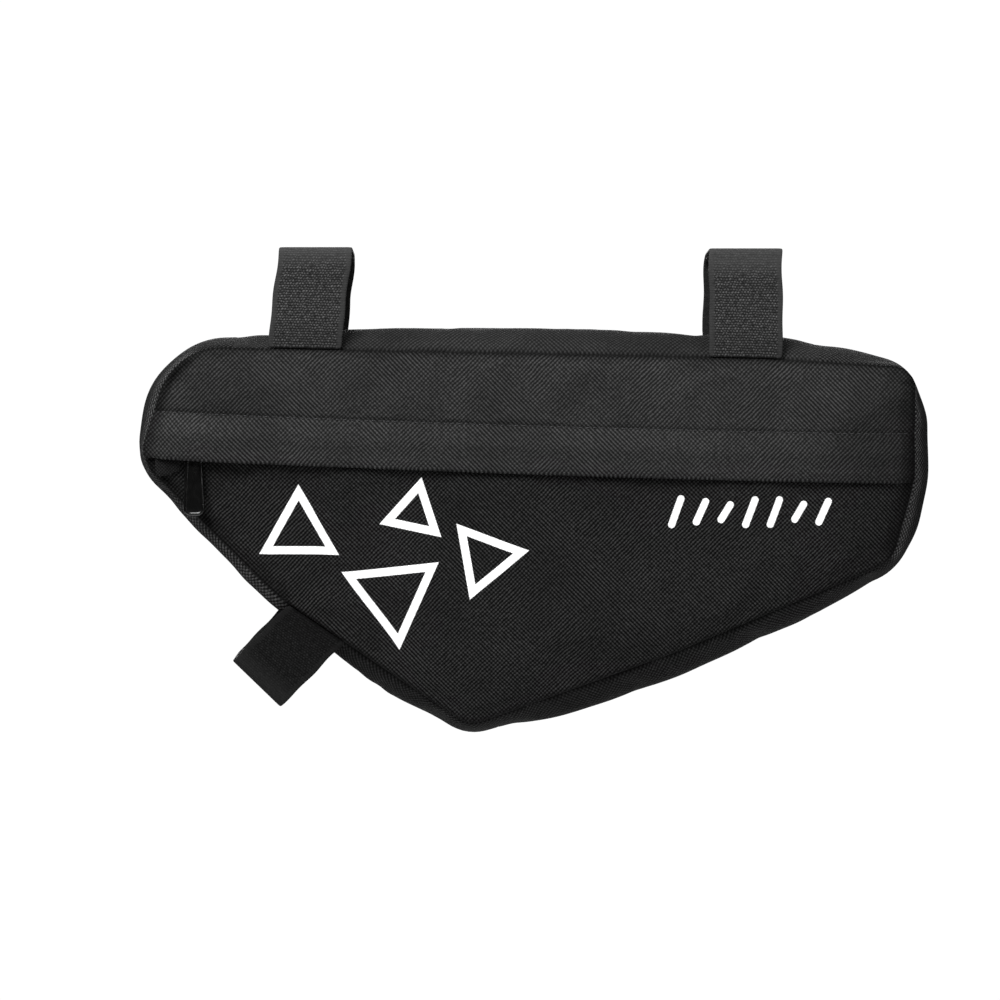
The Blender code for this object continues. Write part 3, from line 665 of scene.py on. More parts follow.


# The greys are partly painted light and shade: the flap's paler grey is partly painted light on cloth that
# leans up to the light, and the top gusset is paler than the other lengths as painted light on cloth that
# faces up.
flap_cloth = woven("flap_cloth", 0.0168, 0.6, FLAP_PITCH, 0.72)
back_cloth = woven("back_cloth", 0.0120, 0.5)
top_gusset_cloth = woven("top_gusset_cloth", 0.0112, 0.3, PITCH, 0.60)
gusset_cloth = woven("gusset_cloth", 0.0093, 0.3, PITCH, 0.85)
print("Four cloths are woven")

# %% [markdown]
# ## The printed panel
# The lower panel carries a white screen print. Ink could be a thin sheet laid over the cloth, but
# real ink soaks into the yarn and shows the weave through it. So the print is a mask in the
# panel's own material: a stroke is the set of points closer to a line than half its width, and a
# triangle's outline is the same for the farthest of its three sides.

# %% Stroke and triangle groups
INK_EDGE = 0.00025


def inked(miss, width):
    """1 where a point misses a line by less than half its width, with a short soft edge."""
    return calc("ADD", (width * 0.5 - miss) / INK_EDGE, 0.5, clamp=True)


stroke, given, result = new_group("ink_stroke", ["Place", "From", "To"], {"Width": 0.004}, ["Mask"])
reach = vector_calc("SUBTRACT", given["To"], given["From"])
offset = vector_calc("SUBTRACT", given["Place"], given["From"])
squared = vector_calc("DOT_PRODUCT", reach, reach)
share = calc("DIVIDE", vector_calc("DOT_PRODUCT", offset, reach), squared, clamp=True)
nearest = add_node(stroke, "VectorMath", 0, {0: reach, "Scale": share}, operation="SCALE")
miss = vector_calc("LENGTH", vector_calc("SUBTRACT", offset, nearest))
put(result["Mask"], inked(miss, given["Width"]))

triangle, given, result = new_group(
    "ink_triangle", ["Place", "Centre"], {"Turn": 0.0, "Radius": 0.015, "Width": 0.004}, ["Mask"]
)
across, along, _ = split(vector_calc("SUBTRACT", given["Place"], given["Centre"]))
turns = [given["Turn"] + third * 2 * math.pi / 3 for third in range(3)]
sides = [across * calc("COSINE", turn) + along * calc("SINE", turn) for turn in turns]
outside = calc("MAXIMUM", calc("MAXIMUM", sides[0], sides[1]), sides[2])
miss = calc("ABSOLUTE", outside - given["Radius"] * 0.5)
put(result["Mask"], inked(miss, given["Width"]))
print("A stroke takes", len(stroke.nodes), "nodes")

# %% Laying out the print
INK_WHITE = (0.86, 0.86, 0.86, 1.0)
INK_WIDTH = 0.0034
TRIANGLES = (
    # centre x, centre z, radius, turn in degrees
    (-0.0960, -0.1000, 0.0165, 30.0),
    (-0.0560, -0.1270, 0.0205, 96.0),
    (-0.0470, -0.0920, 0.0120, 18.0),
    (-0.0170, -0.1110, 0.0155, 70.0),
)
BARS = 7
BAR_PLACE = (0.0640, -0.0915)
BAR_STEP = 0.0104
BAR_RISE = 0.0110
BAR_LEAN = 0.0038
BAR_WIDTH = 0.0030


def print_mask(place):
    """The mask of every triangle and bar: the largest of their own masks."""
    masks = []
    for x, z, radius, turn in TRIANGLES:
        values = {"Place": place, "Centre": (x, z, 0.0), "Turn": math.radians(turn)}
        masks.append(use_group(triangle, {**values, "Radius": radius, "Width": INK_WIDTH})["Mask"])
    for index in range(BARS):
        x, z = BAR_PLACE[0] + index * BAR_STEP, BAR_PLACE[1]
        height = BAR_RISE * (0.45 + 0.55 * abs(math.cos(index * 0.9)))
        low = (x - BAR_LEAN / 2, z - height / 2, 0.0)
        high = (x + BAR_LEAN / 2, z + height / 2, 0.0)
        values = {"Place": place, "From": low, "To": high, "Width": BAR_WIDTH}
        masks.append(use_group(stroke, values)["Mask"])
    mask = masks[0]
    for other in masks[1:]:
        mask = calc("MAXIMUM", mask, other)
    return mask


# The lower panel's darker grey is partly a darker cloth and partly painted shade on a panel that faces a
# little down.
panel_print = woven("panel_print", 0.0099, 0.45, ink=print_mask)
print("The print has", len(TRIANGLES), "triangles and", BARS, "bars")

# %% [markdown]
# ## The lower front panel
# The panel's four edges are the hidden line under the flap and three runs of the seam. A Coons
# patch fills them with even quads, the height function lifts them, and the cloth solver settles
# them. The panel's map is its x and z, as on the flat pattern.

# %% Runs of the seam and the lower panel
COLUMNS = 112
ROWS = 46
HIDDEN_EDGE = 0.0030
VALLEY_DEPTH, VALLEY_PLACE, VALLEY_WIDTH = 0.0018, 0.0032, 0.0024
# Painted shade: a line in the seam's groove, the hollows beside the seam at both ends, and the rear end,
# which turns from the light.
SEAM_SHADE, SEAM_LINE = -0.88, 0.0013
HOLLOW_SHADE, HOLLOW_PLACE, HOLLOW_WIDTH = -0.50, 0.0022, 0.0024
PANEL_REAR_SHADE = -0.16


def crossing(height_above_flap_edge, at_nose):
    """Share of the outline where a line parallel to the flap's edge meets its nose or rear end."""
    line = flap_edge_z(OUTLINE[:, 0]) + height_above_flap_edge
    facing = OUTWARD[:, 0] < -0.3 if at_nose else OUTWARD[:, 0] > 0.3
    return float(SHARES[np.where(facing, np.abs(OUTLINE[:, 1] - line), 1.0).argmin()])


def run(start, end, count):
    """Points of the seam between two shares, closer together near both ends."""
    return at_outline(start + (end - start) * denser_ends(count))[0]


def flap_line(start, end, height, count, fall=0.0):
    """Points across the panel at a height above the flap's edge, which falls a little to the rear."""
    left, right = at_outline(np.array((start, end)))[0]
    x = left[0] + (right[0] - left[0]) * denser_ends(count)
    z = flap_edge_z(x) + height - fall * denser_ends(count)
    z[0], z[-1] = left[1], right[1]
    return np.column_stack((x, z))


def near_ends(x, share):
    """1 where the seam turns round the nose or the rear end, and 0 along the top and below."""
    outward = np.interp(share, SHARES, OUTWARD[:, 0])
    at_nose = eased((-outward - 0.30) / 0.30) * (np.asarray(x) < -0.10)
    at_rear = eased((outward - 0.72) / 0.20) * (np.asarray(x) > 0.10)
    return at_nose + at_rear


def seam_valley(ends, distance):
    """The hollow that the stitches pull beside the seam, deepest at both ends of the bag."""
    return VALLEY_DEPTH * (0.15 + 0.85 * ends) * bell(distance, VALLEY_PLACE, VALLEY_WIDTH)


def panel_painted_shade(x, share, distance):
    """Painted shade of a panel: a line in the groove at the stitches, the hollows beside the seam at the
    ends, and a darker rear end where the panel turns from the light.
    """
    ends = near_ends(x, share)
    line = SEAM_SHADE * (1 - 0.4 * ends) * bell(distance, 0, SEAM_LINE)
    hollow = HOLLOW_SHADE * ends * bell(distance, HOLLOW_PLACE, HOLLOW_WIDTH)
    return line + hollow + PANEL_REAR_SHADE * eased((x - 0.105) / 0.050)


DENTS = (
    # x, z, depth, reach
    (-0.1478, -0.0368, 0.0020, 0.0050),
    (-0.1290, -0.0270, 0.0014, 0.0050),
    (0.1580, -0.0365, 0.0020, 0.0048),
    (0.1610, -0.0520, 0.0012, 0.0070),
)


def dented(x, z, distance):
    """Round dents that the sewn corners pull in: depth times e^(-r squared), fading at the seam."""
    places = np.array(DENTS)
    squares = (x[..., None] - places[:, 0]) ** 2 + (z[..., None] - places[:, 1]) ** 2
    depth = (places[:, 2] * np.exp(-squares / places[:, 3] ** 2)).sum(axis=-1)
    return depth * (1 - np.exp(-distance / 0.0030))


def panel_net(flat, side):
    """A panel's outer face over a flat net: crown, cloth, puckers and waves, less the seam's roll."""
    x, z = flat[..., 0], flat[..., 1]
    distance, share = nearest_seam(x, z)
    depth = GUSSET_WIDTH / 2 + SEAM_GAP + crown(x, z, distance) + CLOTH
    depth += seam_puckers(share, distance) + soft_waves(x, z) * (1 - np.exp(-distance / 0.02))
    depth -= seam_valley(near_ends(x, share), distance) + rolled(distance) + dented(x, z, distance)
    return np.stack((x, side * depth, z), axis=-1), distance, panel_painted_shade(x, share, distance)


lower_left, lower_right = crossing(HIDDEN_EDGE, True), crossing(HIDDEN_EDGE, False)
left_turn, right_turn = 0.868, 0.545  # shares of the outline
flat = coons(
    flap_line(lower_left, lower_right, HIDDEN_EDGE, COLUMNS),
    run(left_turn, right_turn, COLUMNS),
    run(lower_left, left_turn, ROWS),
    run(lower_right, right_turn, ROWS),
)
lower_net, lower_distance, lower_tone = panel_net(flat, -1)
held = lower_distance < SEWN_BAND
held[0] = True
lower_net = settle(lower_net, held, pressure=0.6, slack=0.004)
front_lower = cloth_shell(
    "front_lower_cloth", lower_net, CLOTH, (0, -1, 0), flat, panel_print, lower_tone
)
finish_piece(front_lower, "bag", ("front_lower",))

# %% [markdown]
# ## The upper panel and the flap
# One piece of cloth runs from the top seam down past a row of stitches, and its free end is the
# rain flap. The stitches pull a groove into it. Two patches share the stitch line, so the groove
# stays sharp, and below it the flap stands off the panel to clear the zip.

# %% The flap's lift
SLIDER_X = -0.1399
SLIDER_REACH = 0.020
FLAP_GAP = 0.0008
SLIDER_LIFT = 0.0034
GROOVE_DEPTH, GROOVE_WIDTH = 0.0007, 0.0011
FLAP_TRIM = 0.0026
RISE_SHARE = 0.45
HEM_PLACE, HEM_WIDTH, HEM_HEIGHT = 0.0015, 0.0022, 0.00035
PUFF_HEIGHT, PUFF_WIDTH = 0.00025, 0.006
RIPPLE_HEIGHT = 0.0005
ABOVE_ROWS, FLAP_ROWS, BACK_ROWS = 34, 22, 60
TRIM_FALL = 0.0011


def flap_lift(x, z):
    """How far the flap stands off: an eased rise below the stitches, higher over the slider."""
    rise = eased((flap_edge_z(x) + FLAP_HEIGHT - z) / (FLAP_HEIGHT * RISE_SHARE))
    over_slider = np.exp(-(((x - SLIDER_X - 0.004) / SLIDER_REACH) ** 4))
    return rise * (CLOTH + FLAP_GAP + SLIDER_LIFT * over_slider)


edge_left, edge_right = crossing(FLAP_TRIM, True), crossing(FLAP_TRIM - TRIM_FALL, False)
stitch_left, stitch_right = crossing(FLAP_HEIGHT, True), crossing(FLAP_HEIGHT, False)
nose_turn, rear_turn = 0.012, 0.394
stitch_points = flap_line(stitch_left, stitch_right, FLAP_HEIGHT, COLUMNS)
above = coons(
    run(nose_turn, rear_turn, COLUMNS),
    stitch_points,
    run(nose_turn, stitch_left - 1, ABOVE_ROWS),
    run(rear_turn, stitch_right, ABOVE_ROWS),
)
below = coons(
    stitch_points,
    flap_line(edge_left, edge_right, FLAP_TRIM, COLUMNS, TRIM_FALL),
    run(stitch_left, edge_left, FLAP_ROWS),
    run(stitch_right, edge_right, FLAP_ROWS),
)
flat = np.vstack((above, below[1:]))
upper_net, upper_distance, upper_tone = panel_net(flat, -1)
x, z = flat[..., 0], flat[..., 1]
from_stitches = z - (flap_edge_z(x) + FLAP_HEIGHT)
groove = GROOVE_DEPTH * bell(from_stitches, 0, GROOVE_WIDTH)
puffs = PUFF_HEIGHT * waves(x, (0.0061, 0.0103, 0.0177), 21) * bell(from_stitches, 0, PUFF_WIDTH)
hem = HEM_HEIGHT * bell(z - flap_edge_z(x), HEM_PLACE + FLAP_TRIM, HEM_WIDTH)
ripple = RIPPLE_HEIGHT * waves(x, (0.047, 0.079, 0.143), 33)
ripple = ripple * np.clip(-from_stitches / FLAP_HEIGHT, 0, 1)
# Painted shade: the flap darkens towards the rear end, where the cloth turns from the light. Above the
# stitches the panel is also made darker towards the nose.
upper_tone = upper_tone - 0.22 * eased((x - 0.095) / 0.050) * (from_stitches < 0)
upper_tone = upper_tone - 0.14 * eased((-x - 0.090) / 0.030) * (from_stitches > 0)
upper_net[..., 1] -= flap_lift(x, z) + (FLAP_CLOTH - CLOTH) - groove + puffs + hem + ripple
held = (upper_distance < SEWN_BAND) | (from_stitches < SEWN_BAND / 2)
upper_net = settle(upper_net, held, pressure=0.5, slack=0.005)
front_upper = cloth_shell(
    "front_upper_cloth", upper_net, FLAP_CLOTH, (0, -1, 0), flat, flap_cloth, upper_tone
)
finish_piece(front_upper, "bag", ("front_upper_flap",))

# %% [markdown]
# ## The back panel
# The side away from the zip is one plain panel. It is made the same way, from one patch whose four
# corners lie at the outline's own turns.

# %% The plain panel
flat = coons(
    run(nose_turn, rear_turn, COLUMNS),
    run(left_turn, right_turn, COLUMNS),
    run(nose_turn, left_turn - 1, BACK_ROWS),
    run(rear_turn, right_turn, BACK_ROWS),
)
back_net, back_distance, back_tone = panel_net(flat, 1)
back_net = settle(back_net, back_distance < SEWN_BAND, pressure=0.6, slack=0.004)
back_panel = cloth_shell(
    "back_panel_cloth", back_net, CLOTH, (0, 1, 0), flat, back_cloth, back_tone
)
finish_piece(back_panel, "bag", ("back_panel",))

# %% [markdown]
# ## The gusset
# The band between the panels is cut in three lengths. Across its width it bulges past both seams
# and turns in at its edges, where the stitches hold it. Along the down tube it lies against the
# metal, so there its points are moved out of the tube's cylinder.

# %% Three lengths of gusset
TUBE_ANGLE = math.radians(44.5)
TUBE_POINT = np.array((-0.1022, -0.1536))  # x and z on the down tube's axis
TUBE_ALONG = np.array((math.cos(TUBE_ANGLE), -math.sin(TUBE_ANGLE)))
TUBE_TOWARDS_BAG = np.array((math.sin(TUBE_ANGLE), math.cos(TUBE_ANGLE)))
GUSSET_COLUMNS = 17
GUSSET_STEP = 0.0032
PUCKER_HEIGHT, PUCKER_REACH = 0.0007, 0.006
CREASE_HEIGHT = 0.0004
# Painted light and shade on the gusset: a highlight strip where the edge turns to the light, strongest at the
# ends and the rear, and shade on the rear end's outer band and on the underside.
EDGE_HIGHLIGHT, EDGE_HIGHLIGHT_AT_ENDS, EDGE_HIGHLIGHT_AT_REAR = 0.10, 1.7, 0.9
EDGE_HIGHLIGHT_PLACE, EDGE_HIGHLIGHT_WIDTH = 0.0024, 0.0028
GUSSET_REAR_SHADE, UNDERSIDE_SHADE, TOP_REAR_LIGHTER = -0.30, -0.36, 0.26


def off_tube(points, tube_point, along, towards_bag, clear):
    """Moves points out of a tube: height above its axis is at least its surface's height."""
    rel = points[..., [0, 2]] - tube_point
    height = rel @ towards_bag
    surface = np.sqrt(np.clip(clear**2 - points[..., 1] ** 2, 0, None))
    touching = (surface > 0) & (height > -clear)
    height = np.where(touching, np.maximum(height, surface), height)
    moved = tube_point + (rel @ along)[..., None] * along + height[..., None] * towards_bag
    return np.stack((moved[..., 0], points[..., 1], moved[..., 1]), axis=-1)


def tube_push(points):
    """Keeps the gusset off both tubes."""
    clear = DOWN_TUBE_RADIUS + TUBE_GAP
    points = off_tube(points, TUBE_POINT, TUBE_ALONG, TUBE_TOWARDS_BAG, clear)
    along, down = np.array((1.0, 0.0)), np.array((0.0, -1.0))
    return off_tube(points, np.zeros(2), along, down, TOP_TUBE_RADIUS + TUBE_GAP)


def gusset_net(start, end):
    """A length of gusset: bulge times 1 - |w|^2.2 across its width, plus puckers, less its rolled edges.

    Its painted light and shade: a thin line of painted shade at the stitches, a mottled painted highlight
    strip beside it where the edge turns to the light, painted shade on the rear end's outer band and on the
    underside, and a top made lighter towards the rear.
    """
    count = max(8, int((end - start) * PERIMETER / GUSSET_STEP))
    shares = np.linspace(start, end, count)
    places, outward, bulge = at_outline(shares)
    across = np.sin(np.linspace(-1, 1, GUSSET_COLUMNS) * math.pi / 2)
    rise = bulge[:, None] * (1 - np.abs(across)[None] ** 2.2)
    edge_distance = (1 - np.abs(across)) * GUSSET_WIDTH / 2
    rise = rise - rolled(edge_distance)[None]
    side = np.where(across < 0, 41, 57)
    puckers = [seam_puckers(shares, d, PUCKER_HEIGHT, PUCKER_REACH, s) for d, s in zip(edge_distance, side)]
    creases = CREASE_HEIGHT * waves(shares * PERIMETER, (0.029, 0.053, 0.091), 63)[:, None]
    rise = rise + np.stack(puckers, axis=1) + creases * (1 - np.abs(across)[None] ** 2)
    flat = places[:, None] + outward[:, None] * rise[..., None]
    depth = np.broadcast_to(across * GUSSET_WIDTH / 2, flat.shape[:2])
    net = tube_push(np.stack((flat[..., 0], depth, flat[..., 1]), axis=-1))
    uv = np.stack(np.broadcast_arrays(shares[:, None] * PERIMETER, depth), axis=-1)
    at_ends = near_ends(places[:, 0], np.mod(shares, 1.0))[:, None]
    at_rear = at_ends * (places[:, :1] > 0)
    # Painted shade in the seam's groove, a painted highlight where the edge turns to the light, and painted
    # shade where the rear end and the underside face away from the light.
    line = SEAM_SHADE * (1 - 0.6 * at_ends) * bell(edge_distance, 0, 0.0010)
    edge_highlight = (EDGE_HIGHLIGHT + EDGE_HIGHLIGHT_AT_ENDS * at_ends + EDGE_HIGHLIGHT_AT_REAR * at_rear) * bell(edge_distance, EDGE_HIGHLIGHT_PLACE, EDGE_HIGHLIGHT_WIDTH)
    edge_highlight = edge_highlight + GUSSET_REAR_SHADE * at_rear * eased((edge_distance - 0.0035) / 0.0030)
    below = UNDERSIDE_SHADE * eased((-outward[:, 1:] - 0.5) / 0.3)
    # The top is made lighter towards the rear end.
    lighter_top_rear = TOP_REAR_LIGHTER * eased((places[:, :1] - 0.085) / 0.030) * eased(outward[:, 1:] - 0.2)
    return net, uv, places, line + edge_highlight + below + lighter_top_rear


half_joint = SEAM_GAP / PERIMETER
for name, start, end in (
    ("gusset_top", 0.049, 0.356),
    ("gusset_rear", 0.356, 0.730),
    ("gusset_front", 0.730, 1.049),
):
    net, uv, places, tone = gusset_net(start + half_joint, end - half_joint)
    held = np.zeros(net.shape[:2], bool)
    held[:, [0, 1, -2, -1]] = held[[0, 1, -2, -1]] = True
    net = tube_push(settle(net, held, pressure=0.8, slack=0.006, cap=0.0012))
    middle = net.shape[0] // 2
    facing = (places[middle, 0], 0, places[middle, 1] + 0.09)
    finish = top_gusset_cloth if name == "gusset_top" else gusset_cloth
    gusset = cloth_shell(name + "_cloth", net, CLOTH, facing, uv, finish, tone)
    finish_piece(gusset, "bag", (name,))

# %% [markdown]
# ## Stitches
# A row of lock stitches holds the zip and starts the flap. Each stitch is a short bowed length of
# thread that dips into the cloth at both ends. A curve with a pattern could carry them, but one
# small shape repeated by array arithmetic keeps every stitch the same few dozen faces.

# %% Thread along the flap
STITCH_PITCH = 0.0030
STITCH_LENGTH = 0.0023
THREAD_RADIUS = 0.00021
STITCH_RINGS = 7


def rings_round(line, first, second, radius, sides):
    """Points round a line: radius times (first cos t + second sin t), for t all the way round."""
    t = np.linspace(0, 2 * math.pi, sides, endpoint=False)[:, None]
    return line[..., None, :] + radius * (first[..., None, :] * np.cos(t) + second[..., None, :] * np.sin(t))


def tube_piece(name, points, material):
    """A mesh of tubes, given as tubes by rings by points of a ring, with their ends capped."""
    sides = points.shape[2]
    numbers = np.arange(points.size // 3).reshape(points.shape[:3])
    turned = np.roll(numbers, -1, axis=2)
    walls = np.stack((numbers[:, :-1], turned[:, :-1], turned[:, 1:], numbers[:, 1:]), axis=-1)
    caps = np.vstack((numbers[:, 0, ::-1], numbers[:, -1])).reshape(-1, sides)
    return make_mesh(name, points, walls.reshape(-1, 4).tolist() + caps.tolist(), material)


def stitch_row(name, points, up, material):
    """Bowed threads along a line: each a tube of six sides whose middle stands out of the cloth."""
    distance = travelled(points)
    count = int(distance[-1] / STITCH_PITCH)
    starts = (np.arange(count) + 0.5) * distance[-1] / count - STITCH_LENGTH / 2
    along = np.linspace(0, 1, STITCH_RINGS)
    wanted = starts[:, None] + along * STITCH_LENGTH
    line = np.stack([np.interp(wanted, distance, column) for column in points.T], axis=-1)
    up = np.broadcast_to(up, line.shape)
    arch = np.sin(along * math.pi)[None, :, None] ** 0.5
    line = line + up * (arch * 2.0 - 1.1) * THREAD_RADIUS
    beside = np.cross(unit(np.gradient(line, axis=1)), up)
    taper = (0.35 + 0.65 * arch)[..., None] * THREAD_RADIUS
    print(name, "has", count, "stitches")
    return tube_piece(name, rings_round(line, beside, up, taper, 6), material)


thread, tree, inputs = new_material("thread", 0.55, 0.4)
wave_inputs = {"Vector": object_place(tree), "Scale": 900.0}
bands = add_node(tree, "TexWave", "Fac", wave_inputs, bands_direction="DIAGONAL")
thread_colour = tinted((0.016, 0.016, 0.017), remap(bands, 0.0, 1.0, 0.6, 1.3))
finish_with(inputs, thread_colour, 0.55, bands, 0.00005)
stitch_line = upper_net[above.shape[0] - 1, 2:-2]
stitches = stitch_row("flap_stitches", stitch_line, (0.0, -1.0, 0.0), thread)
finish_piece(stitches, "bag", (), levels=0)

# %% [markdown]
# ## The zip
# Behind the flap runs a nylon coil zip: two rows of small loops on a narrow tape. Little of it
# shows, but from below it does, so the coil is a real coil. Each loop is part of one long helix
# that is flattened towards the tape.

# %% Tape and coil
COIL_ABOVE_EDGE = 0.0085
TAPE_WIDTH = 0.030
TAPE_CLOTH = 0.0010
TAPE_GAP = 0.0008
TAPE_SINK = 0.0022
TAPE_INSET = 0.0075
COIL_INSET = 0.009
COIL_WIDTH = 0.0042
COIL_HEIGHT = 0.0014
COIL_PITCH = 0.0013
COIL_THREAD = 0.00026
TURN_STEPS = 10
TAPE_COLUMNS, TAPE_ROWS = 90, 15


def tape_depth(x, z):
    """Depth of the tape's outer face: inside the panel, and sunk along the coil by a cosine."""
    off = np.clip(np.abs(z - flap_edge_z(x) - COIL_ABOVE_EDGE) / (TAPE_WIDTH / 2), 0, 1)
    return inner_depth(x, z) - TAPE_GAP - TAPE_SINK * np.cos(off * math.pi / 2) ** 1.5


ends = at_outline(np.array((crossing(0, True), crossing(0, False))))[0][:, 0]
tape_x = np.linspace(ends[0] + TAPE_INSET, ends[1] - TAPE_INSET, TAPE_COLUMNS)[None].repeat(TAPE_ROWS, axis=0)
off_centre = np.linspace(1, -1, TAPE_ROWS)[:, None] * TAPE_WIDTH / 2
slant = np.clip((tape_x - ends[0] - TAPE_INSET) / (PANEL_HEIGHT * CORNERS[0, 2]), 0, 1)
tape_x = tape_x + np.clip(off_centre, 0, None) * (1 - slant) * 0.35
tape_z = flap_edge_z(tape_x) + COIL_ABOVE_EDGE + off_centre
tape_net = np.stack((tape_x, -tape_depth(tape_x, tape_z), tape_z), axis=-1)
tape_cloth = woven("tape_cloth", 0.012, 0.3, 0.0006, 0.7, sewn=False)
tape = cloth_shell(
    "zip_tape_cloth", tape_net, TAPE_CLOTH, (0, -1, 0), tape_net[..., [0, 2]], tape_cloth
)
finish_piece(tape, "bag", ("zip_tape",), levels=0)

nylon, tree, inputs = new_material("coil_nylon", 0.38, 0.5)
grain = noise(object_place(tree), 900.0, 3.0)
nylon_colour = tinted((0.012, 0.012, 0.013), remap(grain, 0, 1, 0.6, 1.4))
finish_with(inputs, nylon_colour, remap(grain, 0.2, 0.8, 0.30, 0.50), grain, 0.00003)


def coil_row(side):
    """A flattened helix beside the zip's middle line: a circle swept forward one pitch a turn."""
    length = ends[1] - ends[0] - 2 * COIL_INSET
    turns = int(length / COIL_PITCH)
    turn = np.linspace(0, turns, turns * TURN_STEPS + 1)
    x = ends[0] + COIL_INSET + (turn + 0.5 * (side > 0)) * length / (turns + 1)
    angle = turn * 2 * math.pi
    z = flap_edge_z(x) + COIL_ABOVE_EDGE + side * COIL_WIDTH * 0.24 + np.cos(angle) * COIL_WIDTH * 0.21
    depth = tape_depth(x, flap_edge_z(x) + COIL_ABOVE_EDGE) + 2 * SEAM_GAP + COIL_HEIGHT * 0.5
    line = np.stack((x, -(depth + np.sin(angle) * COIL_HEIGHT * 0.36), z), axis=-1)
    ahead = unit(np.gradient(line, axis=0))
    across = unit(np.cross(ahead, (0.0, 1.0, 0.0)))
    return rings_round(line, across, np.cross(across, ahead), COIL_THREAD, 5)


coil = tube_piece("zip_coil_loops", np.stack([coil_row(side) for side in (-1, 1)]), nylon)
finish_piece(coil, "bag", ("zip_coil",), levels=0)

# %% [markdown]
# ## The slider
# The slider is a casting under black enamel. Its solid is already the right shape, so it is kept,
# and its enamel gets fine orange peel and paler, worn patches.

# %% Black enamel
def smooth_black(name, specular, colour, palest, roughness, grain, wear, bump):
    """A smooth hard surface: wear, a noise cut off at its last number, pales and dulls it."""
    material, tree, inputs = new_material(name, roughness[0], specular)
    place = object_place(tree)
    worn = remap(noise(place, *wear[:3]), wear[3], 0.75, 0.0, 1.0)
    colour = tinted(colour, remap(worn, 0, 1, 0.8, palest))
    finish_with(inputs, colour, remap(worn, 0.0, 1.0, *roughness), noise(place, grain), bump)
    return material, inputs, worn


enamel, inputs, worn = smooth_black(
    "slider_enamel",
    specular=0.4,
    colour=(0.022, 0.022, 0.024),
    palest=3.0,
    roughness=(0.28, 0.48),
    grain=1400.0,
    wear=(420.0, 4.0, 0.7, 0.55),
    bump=0.00002,
)
put(inputs["Metallic"], remap(worn, 0.0, 1.0, 0.0, 0.6))
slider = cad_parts["zip_slider"]
slider.data.materials.clear()
slider.data.materials.append(enamel)
print("The slider keeps its solid, with", len(slider.data.polygons), "faces")

# %% [markdown]
# ## The pull tab
# A moulded tab hangs from the slider's post. It has an eye at its neck, a raised rim and a hollow
# face. The whole tab is one closed ring of a surface: round and round the outline in one
# direction, and from the eye over the face, round the rim and across the back in the other.

# %% Tab surface
PULL_DROP = 0.0300
PULL_THICKNESS = 0.0015
PULL_TOP_WIDTH = 0.0066
PULL_BOTTOM_WIDTH = 0.0092
PULL_CORNER = 0.0030
EYE_RADIUS = 0.0014

pull_low, pull_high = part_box("zip_pull")
pull_centre = np.array((SLIDER_X, (pull_low.y + pull_high.y) / 2, pull_low.z + PULL_DROP))
half_top, half_bottom = PULL_TOP_WIDTH / 2, PULL_BOTTOM_WIDTH / 2
tab_corners = np.array(
    [
        (-half_top * 0.80, half_top * 0.9),
        (half_top * 0.80, half_top * 0.9),
        (half_top, -half_top),
        (half_bottom, -PULL_DROP),
        (-half_bottom, -PULL_DROP),
        (-half_top, -half_top),
    ]
)
tab_radii = np.array((0.5, 0.5, 0.3, 0, 0, 0.3)) * half_top
tab_radii[3:5] = PULL_CORNER
tab = resample(rounded_path(tab_corners, tab_radii, True), np.linspace(0, 1, 161))[:-1]
tab_ahead = unit(np.roll(tab, -1, axis=0) - np.roll(tab, 1, axis=0))
tab_in = np.column_stack((tab_ahead[:, 1], -tab_ahead[:, 0]))
bearing = np.arctan2(tab[:, 1], tab[:, 0])
eye = EYE_RADIUS * np.column_stack((np.cos(bearing), np.sin(bearing)))

TAB_PROFILE = (
    # inset from the rim in metres, height as a share of half the thickness
    (0.00000, 0.00),
    (0.00006, 0.45),
    (0.00025, 0.78),
    (0.00055, 0.96),
    (0.00080, 1.00),
    (0.00105, 0.93),
    (0.00130, 0.66),
    (0.00155, 0.52),
)
TAB_FACE = (
    # share of the way from the hollow's edge to the eye, height as a share of half the thickness
    (0.35, 0.52),
    (0.70, 0.52),
    (0.92, 0.94),
    (1.00, 0.94),
)
hollow_edge = tab + tab_in * TAB_PROFILE[-1][0]
levels = [(tab + tab_in * inset, height) for inset, height in TAB_PROFILE]
levels += [(hollow_edge * (1 - share) + eye * share, height) for share, height in TAB_FACE]
front_half = np.array([np.column_stack((ring, np.full(len(tab), height))) for ring, height in levels])
back_half = front_half[::-1] * (1, 1, -1)
loop = np.concatenate((front_half, back_half[:-1]))
tab_points = np.stack((loop[..., 0], -loop[..., 2] * PULL_THICKNESS / 2, loop[..., 1]), axis=-1)
numbers = np.arange(loop.shape[0] * loop.shape[1]).reshape(loop.shape[:2])
after_row, after_column = np.roll(numbers, -1, axis=0), np.roll(numbers, -1, axis=1)
tab_faces = np.stack((numbers, after_column, np.roll(after_row, -1, axis=1), after_row), axis=-1)

pull_black = smooth_black(
    "pull_black",
    specular=0.28,
    colour=(0.0024, 0.0024, 0.0024),
    palest=1.6,
    roughness=(0.19, 0.32),
    grain=1100.0,
    wear=(240.0, 4.0, 0.65, 0.5),
    bump=0.000004,
)[0]
pull = make_mesh("zip_pull_tab", tab_points + pull_centre, tab_faces.reshape(-1, 4), pull_black)
finish_piece(pull, "pull", ("zip_pull",))

# %% [markdown]
# ## The zip's end
# Under the flap at the nose, a little folded tab of cloth closes the zip. It is a curved corner of
# the gusset's cloth that lies on the lower panel.

# %% End tab
END_TAB_LENGTH = 0.0105
END_TAB_DROP = 0.0055
END_TAB_CLOTH = 0.0008
END_TAB_COLUMNS, END_TAB_ROWS = 30, 16

